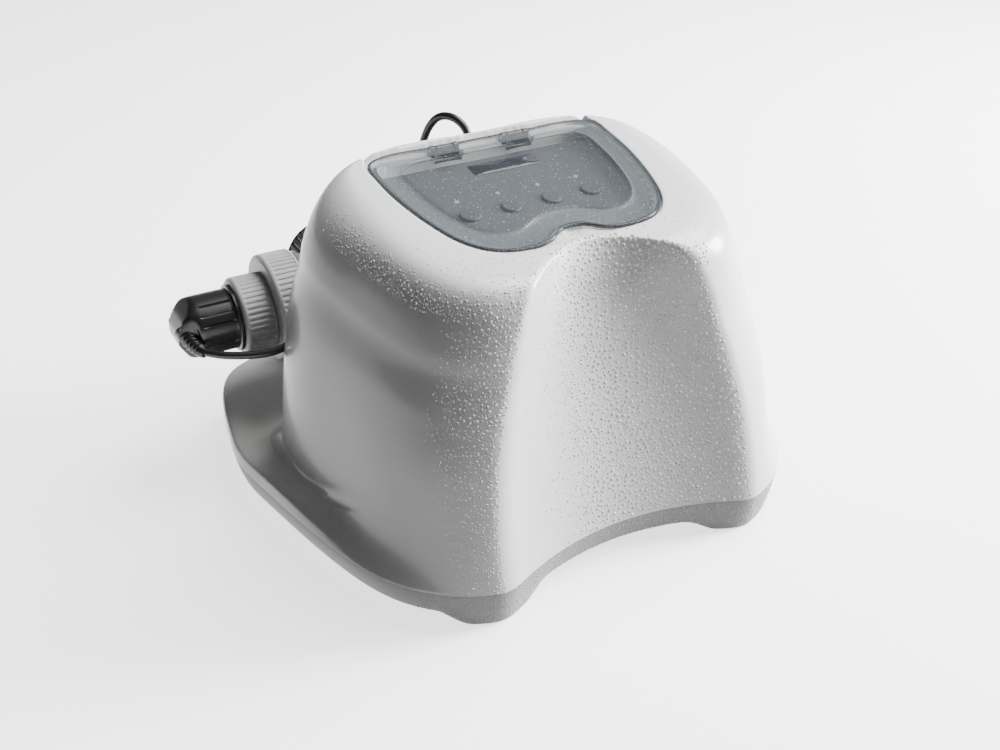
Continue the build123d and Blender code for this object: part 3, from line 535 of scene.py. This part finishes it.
def cell_plug():
    """Fluted plug with a thin flange by the collar and a wedge-shaped end."""
    count = 216
    turn = np.arange(count) * 2 * math.pi / count
    flutes = np.zeros(count)
    for degrees in (118, 138, 158, 200, 220):
        gap = np.abs((np.degrees(turn) - degrees + 180) % 360 - 180)
        flutes = np.maximum(flutes, 1 - smooth(gap, 0.6, 2.6))

    def section(x, r, fluted=0):
        return round_cell(turn, x, r - fluted * 1.1 * flutes)

    rings = [section(-169.0, 20.0), section(-169.0, PLUG_R), section(-179.7, PLUG_R),
             section(-179.8, PLUG_FLANGE_R - 0.6), section(-180.3, PLUG_FLANGE_R),
             section(-182.0, PLUG_FLANGE_R), section(-182.5, PLUG_FLANGE_R - 0.6),
             section(-182.8, PLUG_R + 0.3), section(-184.5, PLUG_R), section(-185.5, PLUG_R, 1)]
    rings += [section(x, PLUG_R, 1) for x in np.linspace(-188, PLUG_END + 5, 6)]
    rings += [section(PLUG_END + 3.5, PLUG_R)]
    # How far the wedge stands out at each height above and below the axis
    profile_z = (-24, -22.0, -16, -6, 4, 13, 23.0, 24)
    profile_x = (0, 0, 8, 14, 14, 9, 0, 0)
    for r, back in ((22.95, 1.2), (22.2, 0.4), (21.2, 0.05), (19.5, 0), (17.5, 0), (15.5, 0), (13.5, 0),
                    (11.5, 0), (9, 0), (6.5, 0), (4, 0), (2, 0)):
        ring = section(PLUG_END + back, r)
        depth = np.interp(ring[:, 2] - CELL_Z, profile_z, profile_x)
        soft = np.interp(ring[:, 2] - CELL_Z + 1.5, profile_z, profile_x)
        ring[:, 0] -= (depth + soft) / 2 * (1 - smooth(np.abs(ring[:, 1] - CELL_Y), 13.0, 19.5))
        rings.append(ring)
    return ring_solid("fluted_plug", rings, PLUG_BLACK, "root", ("cell_plug",), sharp=32.0)


flex, boot, plug = cell_cord(), plug_boot(), cell_plug()


# ---- Cover ----
def wall_reach(level_reach, level):
    """Reach and height rule of the wall at a level from 0 to 4, one level for each station."""
    count = len(BODY_LEVELS)
    k = np.clip(level.astype(int), 0, count - 2)
    t = level - k
    picks = [np.clip(k + shift, 0, count - 1) for shift in (-1, 0, 1, 2)]
    a, b, c, d = (level_reach[pick, np.arange(len(level))] for pick in picks)
    radius = b + 0.5 * t * (c - a + t * (2 * a - 5 * b + 4 * c - d + t * (3 * (b - c) + d - a)))
    heights = np.array([entry[0] for entry in BODY_LEVELS])
    slopes = np.array([entry[1] for entry in BODY_LEVELS])
    height, slope = mix(heights[k], heights[k + 1], t), mix(slopes[k], slopes[k + 1], t)
    return radius, height, slope


def cover_rings():
    """Outer and inner rings of the cover, each from the seam to the control pocket."""
    levels = [closed_curve(entry[2]) for entry in BODY_LEVELS]
    angles = even_angles(levels[2], STATIONS)
    level_reach = np.array([reach(curve, angles) for curve in levels])
    flange = reach(closed_curve(FLANGE_OUTLINE), angles)
    top = reach(closed_curve(TOP_OUTLINE), angles)
    seat = reach(moved_in(closed_curve(SEAT_OUTLINE), -0.4), angles)
    pocket = reach(moved_in(closed_curve(LID_OUTLINE), 7.0), angles)

    low, _, _ = wall_reach(level_reach, np.full(STATIONS, 0.28))
    gap = np.maximum(flange - low, 0.3)
    wide = smooth(gap, 3.0, 20.0)
    rim_z, deck_z, wall_z = mix(30.5, 38.0, wide), mix(50.0, DECK_Z, wide), mix(76.0, DECK_Z + 9, wide)
    rim_r, fillet_r = np.minimum(4.5, 0.45 * gap), np.minimum(9.0, 0.5 * gap)
    # 1 at the front, where the skirt runs straight up into the wall; 0 where there is a flat deck.
    merged = smooth(-flange * np.sin(angles) - OUTLINE_CENTRE_Y, 5, 125)
    wall_z = mix(wall_z, MERGE_Z, merged)
    start = (wall_z - BODY_LEVELS[0][0]) / (BODY_LEVELS[1][0] - BODY_LEVELS[0][0])
    foot_r, foot_height, foot_slope = wall_reach(level_reach, start)
    bend_r, _, _ = wall_reach(level_reach, 0.4 * start)

    def plain(radius, height):
        return ring_points(angles, radius, height)

    outer = [plain(flange, SEAM_Z), plain(flange, SEAM_Z + 0.6)]
    stepped = [(flange, mix(SEAM_Z, rim_z, 0.5))]
    for share in np.linspace(0, 1, 8):
        stepped.append((bend(flange, flange, flange - rim_r, share), bend(rim_z, deck_z, deck_z, share)))
    for share in np.linspace(0, 1, 12)[1:-1]:
        stepped.append((mix(flange - rim_r, foot_r + fillet_r, share), deck_z))
    for share in np.linspace(0, 1, 9):
        stepped.append((bend(foot_r + fillet_r, foot_r, foot_r, share), bend(deck_z, deck_z, wall_z, share)))
    for step, (radius, height) in enumerate(stepped):
        share = (step + 1) / len(stepped)
        straight_r = bend(flange, bend_r, foot_r, share)
        straight_z = bend(SEAM_Z + 0.6, mix(SEAM_Z, wall_z, 0.4), wall_z, share)
        lift = share ** 3
        outer.append(ring_points(angles, mix(radius, straight_r, merged),
                                 lambda y: mix(height, straight_z, merged)
                                 + lift * (foot_height + foot_slope * y - wall_z)))
    for share in np.linspace(0, 1, 46)[1:]:
        radius, height, slope = wall_reach(level_reach, mix(start, 4.0, share))
        outer.append(ring_points(angles, radius, lambda y: height + slope * y))
    rise = SHOULDER_DROP / (BODY_LEVELS[-1][0] - BODY_LEVELS[-2][0])
    corner = level_reach[-1] + (level_reach[-1] - level_reach[-2]) * rise
    crease = 1 + 1.3 * smooth(-top * np.sin(angles) - OUTLINE_CENTRE_Y, -10, 80)

    def shoulder(share):
        """Reach and depth on the rounding, which is drawn towards its corner at the front."""
        low, middle, high = (1 - share) ** 2, 2 * crease * share * (1 - share), share ** 2
        total = low + middle + high
        return ((low * level_reach[-1] + middle * corner + high * top) / total, -SHOULDER_DROP * low / total)

    for share in np.linspace(0, 1, 29)[1:]:
        radius, depth = shoulder(share)
        outer.append(ring_points(angles, radius, on_top(depth)))
    for share in (0.2, 0.4, 0.6, 0.7, 0.85, 1.0):
        outer.append(ring_points(angles, mix(top, seat + 0.9, share), on_top(0.0)))
    outer = [lowered(hollowed(ring)) for ring in outer]
    lip = [(seat + 0.35, -0.18), (seat, -0.8), (seat, -SEAT_DEPTH + 0.3), (seat - 0.4, -SEAT_DEPTH),
           (mix(seat, pocket, 0.35), -SEAT_DEPTH), (mix(seat, pocket, 0.65), -SEAT_DEPTH),
           (pocket + 0.8, -SEAT_DEPTH), (pocket + 0.2, -SEAT_DEPTH - 0.25), (pocket, -SEAT_DEPTH - 0.9)]
    outer += [lowered(ring_points(angles, radius, on_top(depth))) for radius, depth in lip]
    outer += [ring_points(angles, radius, on_top(-POCKET_DEPTH)) for radius in (pocket, pocket - 5)]

    inner = [plain(flange - WALL, SEAM_Z),
             plain(mix(flange, mix(flange, foot_r, 0.3) - 1, merged) - WALL, mix(rim_z - 1, 34.0, merged)),
             plain(mix(flange - rim_r - 2, mix(flange, foot_r, 0.65) - 1 - WALL, merged),
                   mix(deck_z - WALL, 46.0, merged)),
             plain(mix(mix(flange - rim_r, foot_r, 0.5) - 1.5, foot_r - 1 - WALL, merged),
                   mix(deck_z - WALL, 60.0, merged))]
    for share in np.linspace(0, 1, 24):
        radius, height, slope = wall_reach(level_reach, mix(start, 4.0, share))
        inner.append(ring_points(angles, radius - WALL, lambda y: height + slope * y - 1.0))
    for share in np.linspace(0, 1, 12)[1:]:
        radius, depth = shoulder(share)
        inner.append(ring_points(angles, radius - WALL * (1 - 0.4 * share),
                                 on_top(depth - WALL * (0.4 + 0.6 * share))))
    inner.append(ring_points(angles, mix(top, seat + 2.5, 0.7), on_top(-3.2)))
    inner = [hollowed(ring, WALL * 1.05) for ring in inner]
    inner += [ring_points(angles, seat + 2.2, on_top(-8.0)), ring_points(angles, pocket + 2.5, on_top(-8.0)),
              ring_points(angles, pocket + 2.5, on_top(-POCKET_DEPTH - 2.5)),
              ring_points(angles, pocket - 5, on_top(-POCKET_DEPTH - 2.5))]
    return outer, inner


def cover():
    """Builds the cover and returns the grid of its outer face, for the drops."""
    outer, inner = cover_rings()
    piece = ring_solid("moulded_cover", outer + inner[::-1], WHITE, "root", ("cover_shell",),
                       sharp=50.0, caps=False)
    carve(piece, [rod(side * FIXING_X, FIXING_Y, 20, 60, FIXING_R) for side in (-1, 1)], 50.0)
    return np.array(outer)


cover_grid = cover()


# ---- Base tray ----
def band_bottom(x, y):
    """Underside of the band: on the ground at the four corners, raised between them."""
    x = np.abs(x)
    front = (1 - smooth(y, -167, -152)) * smooth(x, 52, 80)
    rear = smooth(y, 108, 140) * smooth(x, 98, 124)
    return BAND_Z * (1 - np.maximum(front, rear))


def tray():
    """Builds the tray and returns the grid of its band, for the drops."""
    curve = closed_curve(FLANGE_OUTLINE)
    angles = even_angles(curve, STATIONS)
    edge = reach(curve, angles)

    def level(inset, height):
        """The tray's outline moved in, at a height that follows from the band's underside."""
        ring = hollowed(ring_points(angles, edge - inset, SEAM_Z), inset)
        bottom = band_bottom(ring[:, 0], ring[:, 1])
        ring[:, 2] = height(bottom)
        return ring

    def shrunk(ring, share, height):
        """The ring drawn in towards the middle, on the floor of the tray or under it."""
        ring = mix(np.array([0, OUTLINE_CENTRE_Y, 0]), ring, share)
        ring[:, 2] = height(band_bottom(ring[:, 0], ring[:, 1]))
        return ring

    under, floor = level(9.0, lambda b: b), level(8.0, lambda b: b)
    rings = [shrunk(under, share, lambda b: b) for share in np.linspace(0.04, 1, 26)]
    first = len(rings)
    for share in np.linspace(0, 1, 6)[1:]:
        rings.append(level(bend(7.0, 4.4, 4.0, share), lambda b: bend(b, b, b + 2.6, share)))
    for share in np.linspace(0, 1, 13)[1:]:
        inset = mix(4.0, 0.5, 1 - (1 - share) ** 1.6)
        rings.append(level(inset, lambda b: mix(b + 2.6, SEAM_Z - 1.6, share)))
    rings += [level(0.5, lambda b: SEAM_Z - 1.2 + 0 * b), level(0.7, lambda b: SEAM_Z - 0.5 + 0 * b),
              level(1.0, lambda b: SEAM_Z - 0.1 + 0 * b), level(3.2, lambda b: SEAM_Z - 0.1 + 0 * b)]
    last = len(rings) - 2
    rings.append(level(4.4, lambda b: BAND_Z + WALL + 2 + 0 * b))
    rings += [shrunk(floor, share, lambda b: BAND_Z + WALL + 0 * b) for share in (1.0, 0.6, 0.2, 0.04)]
    piece = ring_solid("moulded_tray", rings, BASE_GREY, "root", ("base_tray",), sharp=45.0)
    carve(piece, [rod(side * FIXING_X, FIXING_Y, -5, 60, FIXING_R) for side in (-1, 1)], 45.0)
    return np.array(rings[first:last])


tray_grid = tray()


# ---- Smoky lid ----
def lid():
    """Builds the lid and returns the grid of its upper face, for the drops."""
    curve = closed_curve(LID_OUTLINE)
    angles = even_angles(curve, LID_STATIONS, LID_CENTRE_Y)
    edge = reach(curve, angles, LID_CENTRE_Y)
    raised = reach(closed_curve(RAISED_OUTLINE), angles, LID_CENTRE_Y)

    def at(radius, depth):
        flat = ring_points(angles, radius, 0.0, LID_CENTRE_Y)
        return on_slope(flat[:, 0], flat[:, 1], depth)

    hollow = RAISED_BY - LID_THICK
    rings = [at(raised * share, hollow) for share in (0.02, 0.3, 0.6, 0.85)]
    rings += [at(raised - 1.6, hollow), at(raised - 0.9, -LID_THICK + 0.1), at(raised + 0.5, -LID_THICK)]
    rings += [at(mix(raised, edge, share), -LID_THICK) for share in (0.3, 0.6)]
    rings += [at(edge - 2.2, -LID_THICK), at(edge - 0.7, -LID_THICK), at(edge - 0.15, -LID_THICK + 0.3)]
    under = len(rings)
    rings += [at(edge, -1.9), at(edge, -0.9), at(edge - 0.25, -0.35), at(edge - 0.8, -0.05)]
    side = len(rings)
    rings += [at(edge - 2.4, 0.0)]
    rings += [at(mix(edge, raised, share), -0.35) for share in (0.25, 0.45, 0.65, 0.82)]
    ramp_top = len(rings) + 2
    rings += [at(raised + 1.8, -0.2), at(raised + 0.7, 0.15), at(raised - 0.1, 0.9),
              at(raised - 1.0, RAISED_BY - 0.1), at(raised - 2.2, RAISED_BY)]
    rings += [at(raised * share, RAISED_BY) for share in (0.85, 0.6, 0.3, 0.02)]
    piece = ring_solid("smoked_lid", rings, [LID_GLASS, LID_EDGE, LID_CHANNEL], "lid", ("lid",),
                       sharp=60.0)
    for face in piece.data.polygons:
        row = face.index // LID_STATIONS
        if under - 1 <= row < side:
            face.material_index = 1
        elif side <= row < ramp_top:
            face.material_index = 2
    near, far = HINGE_ZONE[0] + 0.3, HINGE_ZONE[1] - 0.3
    tools = [block(x0, x1, HINGE_V - 4.0, 60, -10, 10) for x0, x1 in ((-far, -near), (near, far))]
    carve(piece, tools, 60.0)
    return np.array(rings[side:])


lid_grid = lid()


# ---- Grip rings of the cell and its plug ----
def grip_ring(name, node, x0, x1, radius, bore, ribs, depth, seat=None):
    """Ribbed ring about the cell's axis, with a smooth rim at each end and maybe a wider seat inside."""
    count = ribs * 12
    turn = np.arange(count) * 2 * math.pi / count
    wave = 0.5 + 0.5 * np.cos(turn * ribs)
    groove = depth * smooth(wave, 0.25, 0.85)

    def at(x, r, ribbed=0.0):
        return round_cell(turn, x, r - groove * ribbed)

    mouth = seat or bore
    rings = [at(x0 + 3.3, bore), at(x0 + 0.6, bore), at(x0, bore + 0.6), at(x0, radius - 3.6),
             at(x0 + 0.5, radius - 1.7), at(x0 + 1.5, radius - 0.5), at(x0 + 2.8, radius),
             at(x0 + 3.6, radius), at(x0 + 4.4, radius, 1)]
    rings += [at(x, radius, 1) for x in np.linspace(x0 + 5.4, x1 - 2.6, 4)]
    rings += [at(x1 - 1.9, radius), at(x1 - 0.8, radius - 0.15), at(x1 - 0.15, radius - 0.7),
              at(x1, radius - 1.5), at(x1, mouth + 0.6), at(x1 - 0.6, mouth), at(x0 + 3.3, mouth)]
    if seat is None:
        rings.pop()
    ring_solid(name, rings, NUT_GREY, node, (node,), sharp=38.0, caps=False)


grip_ring("cell_grip_ring", "cell_ring_nut", RING_X0, RING_X1, RING_R, HEAD_BORE_R, 60, 0.8, RING_SEAT_R)
grip_ring("collar_grip_ring", "plug_collar", COLLAR_X0, COLLAR_X1, COLLAR_R, COLLAR_BORE_R, 44, 0.7)


# ---- Display glass on the control panel ----
def display_glass():
    """Rounded dark glass that lies on the fascia, over the display."""
    count, half_x, half_v, corner = 64, 27.0, 7.4, 2.5
    turn = (np.arange(count) + 0.5) * 2 * math.pi / count
    c, s = np.cos(turn), np.sin(turn)
    x = DISPLAY_X + np.sign(c) * (half_x - corner) + corner * c
    v = DISPLAY_V + np.sign(s) * (half_v - corner) + corner * s

    def at(depth, inset):
        return on_slope(mix(x, DISPLAY_X, inset / half_x), mix(v, DISPLAY_V, inset / half_v), depth)

    rings = [at(FASCIA_W - 0.3, 0.6), at(FASCIA_W - 0.3, 0), at(FASCIA_W + 0.3, 0), at(FASCIA_W + 0.5, 0.3)]
    ring_solid("display_glass", rings, WINDOW, "root", ("display_window",))


display_glass()


# ---- Finishes of the CAD nodes that stay ----
FINISHES = {
    PANEL: ("control_fascia",),
    BUTTON: ("power_button", "timer_button", "boost_button", "clean_button"),
    LIGHT_PIPE: ("indicator_lights",),
    BOARD: ("power_board", "control_board"),
    STEEL: ("control_board_screws", "hinge_pins", "transformer_bolt", "power_board_screws", "base_screws",
            "saddle_screws", "paddle_pin"),
    RUBBER: ("pocket_seal", "cell_o_ring", "port_seals"),
    SATIN_BLACK: ("led_display", "button_switches", "hinge_leaves", "hinge_brackets", "power_relay",
                  "flow_sensor", "cord_gland", "cord_gland_nut", "mains_gland"),
    COPPER: ("transformer",),
    ALUMINIUM: ("heat_sink",),
    SLEEVE: ("capacitors",),
    TERMINAL: ("terminal_block",),
    HOUSING_GREY: ("cell_housing", "housing_saddles", "housing_straps"),
    NUT_GREY: ("cell_head", "plate_combs", "flow_sensor_nut", "flow_paddle"),
    TITANIUM: ("cell_plates", "cell_terminals"),
    # Hose nuts: dark colour, partly painted shade.
    NUT_DARK_SHADED: ("hose_nut_left", "hose_nut_right"),
}
for material, names in FINISHES.items():
    for name in names:
        node_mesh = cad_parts[name].data
        node_mesh.materials.clear()
        node_mesh.materials.append(material)


# ---- Condensation: small drops of water that stand on the surface ----
def drop_shape():
    """A low dome, round in plan, closed below: points and faces of one drop of radius 1."""
    around = 7
    rows = ((0.0, -0.2), (1.0, -0.1), (0.93, 0.25), (0.6, 0.52), (0.0, 0.64))
    points, faces = [(0.0, 0.0, rows[0][1])], []
    for r, h in rows[1:-1]:
        points += [(r * math.cos(2 * math.pi * k / around), r * math.sin(2 * math.pi * k / around), h)
                   for k in range(around)]
    points.append((0.0, 0.0, rows[-1][1]))
    last = len(points) - 1
    for k in range(around):
        n = (k + 1) % around
        faces.append((0, 1 + n, 1 + k, 1 + k))
        for row in range(len(rows) - 3):
            a = 1 + row * around
            faces.append((a + k, a + n, a + around + n, a + around + k))
        a = 1 + (len(rows) - 3) * around
        faces.append((a + k, a + n, last, last))
    return np.array(points), np.array(faces)


def scattered(name, grid, density, tries, sizes, body, seed):
    """Drops on a grid of rings, kept by a density from 0 to 1 at each place."""
    rng = np.random.default_rng(seed)
    a, b = grid[:-1], np.roll(grid, -1, 1)[:-1]
    c, d = np.roll(grid, -1, 1)[1:], grid[1:]
    normal = np.cross(c - a, d - b)
    area = np.linalg.norm(normal, axis=2).ravel() / 2
    normal = normal.reshape(-1, 3) / np.maximum(2 * area, 1e-9)[:, None]
    pick = rng.choice(len(area), tries, p=area / area.sum())
    s, t = rng.random(tries)[:, None], rng.random(tries)[:, None]
    a, b, c, d = (corner.reshape(-1, 3)[pick] for corner in (a, b, c, d))
    place = (1 - s) * ((1 - t) * a + t * b) + s * ((1 - t) * d + t * c)
    normal = normal[pick]
    chance = density(place)
    keep = rng.random(tries) < chance ** 1.5
    place, normal, chance = place[keep], normal[keep], chance[keep]
    size = mix(sizes[0], sizes[1], rng.random(len(place)) ** 3.0 * (0.3 + 0.7 * chance))
    place, normal, size = spaced(place, normal, size)
    shape, faces = drop_shape()
    side = np.cross(normal, (0.3, 0.1, 0.95))
    side /= np.linalg.norm(side, axis=1)[:, None]
    up = np.cross(normal, side)
    squash = 0.8 + 0.4 * rng.random(len(place))
    stretch = np.stack([squash, 1 / squash, np.ones(len(place))], 1)
    local = shape[None] * size[:, None, None] * stretch[:, None]
    points = (place[:, None] + local[..., :1] * side[:, None] + local[..., 1:2] * up[:, None]
              + local[..., 2:] * normal[:, None]).reshape(-1, 3)
    every = (faces[None] + (np.arange(len(place)) * len(shape))[:, None, None]).reshape(-1, 4)
    triangles = every[:, 2] == every[:, 3]
    listed = [tuple(f[:3]) if tri else tuple(f) for f, tri in zip(every.tolist(), triangles)]
    new_object(name, points, listed, [WATER], body, 180.0)


def spaced(place, normal, size):
    """The drops that stand clear of each other, the larger ones chosen first."""
    order = np.argsort(-size)
    cells, kept, cell = {}, [], 3.0
    for i in order:
        key = tuple((place[i] // cell).astype(int))
        near = [j for dx in (-1, 0, 1) for dy in (-1, 0, 1) for dz in (-1, 0, 1)
                for j in cells.get((key[0] + dx, key[1] + dy, key[2] + dz), ())]
        if all(np.sum((place[i] - place[j]) ** 2) > (DROP_SPACING * (size[i] + size[j])) ** 2 for j in near):
            cells.setdefault(key, []).append(i)
            kept.append(i)
    return place[kept], normal[kept], size[kept]


def panel_mist(place):
    """Heavy in the middle and to the right of the front panel, clear along its left edge."""
    x, y, z = place.T
    on_panel = (np.abs(y - panel_y(x, z)) < 3.0) & (z > SEAM_Z + 2) & (z < 229)
    across = smooth(x, -58, 6) * (1 - 0.6 * smooth(x, 90, 104))
    return on_panel * (0.10 + 0.90 * across) * smooth(x, -84, -50)


def shoulder_mist(place):
    """Thick along the front left shoulder and the left ridge, fading down the wall and to the rear."""
    x, y, z = place.T
    depth = TOP_Z + TOP_SLOPE * y - z
    beyond_panel = y - panel_y(x, z) > 3.5
    band = smooth(depth, 0.5, 9) * (1 - smooth(depth, 17, 24)) * smooth(-x, 10, 50)
    to_rear = 1 - smooth(y, -50, 25)
    ridge = smooth(x, -142, -106) * (1 - smooth(y, -140, -112)) * (x < 0)
    ridge = ridge * (1 - 0.35 * smooth(-z, -150, -60))
    land = 0.22 * (depth < 1.5) * (1 - smooth(y, -95, -55))
    above = 0.8 * smooth(depth, 0.3, 6) * (np.abs(x) < 75) * (z > 205) * (y < -60)
    thick = np.maximum(np.maximum(band * to_rear, ridge), above)
    return beyond_panel * np.clip(thick + land, 0, 1) * (x < 85)


def tray_mist(place):
    """Thin, on the front of the band."""
    x, y, z = place.T
    return ((y < -110) & (x > -150) & (z < SEAM_Z - 2) & (z > 3)) * (0.4 + 0.4 * smooth(x, -120, -60))


def lid_mist(place):
    """Even, but for the stretch over the display and the rear edge, which stay clear."""
    x, y = place[:, 0], place[:, 1]
    return (np.hypot((x - DISPLAY_X + 8) / 40, (y - DISPLAY_V + 14) / 17) > 1) * (1 - smooth(y, 24, 32))


scattered("drops_panel", cover_grid, panel_mist, 150000, (0.4, 1.35), "root", 11)
scattered("drops_shoulder", cover_grid, shoulder_mist, 190000, (0.35, 1.1), "root", 12)
scattered("drops_tray", tray_grid, tray_mist, 20000, (0.35, 0.9), "root", 13)
scattered("drops_lid", lid_grid, lid_mist, 1100, (0.2, 0.42), "lid", 14)


# ---- Floor and light ----
def area_light(name, place, target, size, power):
    """A rectangular lamp that faces its target; metres and watts."""
    data = bpy.data.lights.new(name, "AREA")
    data.shape, data.size, data.size_y = "RECTANGLE", size[0], size[1]
    data.energy = power
    lamp = bpy.data.objects.new(name, data)
    lamp.location = place
    lamp.rotation_euler = (Vector(target) - Vector(place)).to_track_quat("-Z", "Y").to_euler()
    bpy.context.scene.collection.objects.link(lamp)


def studio_floor():
    """A wide, plain, pale floor just under the part."""
    reach_m = 12.0
    mesh = bpy.data.meshes.new("floor")
    corners = [(x * reach_m, y * reach_m, 0) for x, y in ((-1, -1), (1, -1), (1, 1), (-1, 1))]
    mesh.from_pydata(corners, [], [(0, 1, 2, 3)])
    material, tree, shader, coords = new_material("floor_white")
    paper = noise(tree, coords, 3.0, 2.0)
    tree.links.new(ramp(tree, paper, [(0.3, (0.93, 0.93, 0.93)), (0.7, (0.95, 0.95, 0.95))]),
                   shader.inputs["Base Color"])
    shader.inputs["Roughness"].default_value = 0.9
    shader.inputs["Emission Color"].default_value = (1.0, 1.0, 1.0, 1.0)
    shader.inputs["Emission Strength"].default_value = 2.0
    mesh.materials.append(material)
    floor = bpy.data.objects.new("floor", mesh)
    floor.location.z = cad_low.z - 0.0002
    floor.visible_diffuse = False
    bpy.context.scene.collection.objects.link(floor)


def studio_world():
    """Soft surroundings, dim on the left and bright on the right."""
    world = bpy.data.worlds.new("studio")
    world.use_nodes = True
    tree = world.node_tree
    background = tree.nodes["Background"]
    coords = tree.nodes.new("ShaderNodeTexCoord").outputs["Generated"]
    split = tree.nodes.new("ShaderNodeSeparateXYZ")
    tree.links.new(coords, split.inputs["Vector"])
    side = tree.nodes.new("ShaderNodeMapRange")
    side.inputs["From Min"].default_value = -0.8
    side.inputs["From Max"].default_value = 0.8
    side.inputs["To Min"].default_value = 0.0
    side.inputs["To Max"].default_value = 1.0
    tree.links.new(split.outputs["X"], side.inputs["Value"])
    stops = [(0.0, (0.09, 0.09, 0.092)), (0.5, (0.14, 0.14, 0.142)), (1.0, (0.8, 0.8, 0.8))]
    tree.links.new(ramp(tree, side.outputs["Result"], stops), background.inputs["Color"])
    background.inputs["Strength"].default_value = 0.85
    bpy.context.scene.world = world


studio_floor()
studio_world()
area_light("key", (1.9, -0.55, 0.75), (0.0, -0.05, 0.1), (0.7, 0.8), 175.0)
area_light("overhead", (1.2, 0.1, 2.1), (0.0, 0.0, 0.0), (1.5, 1.5), 105.0)
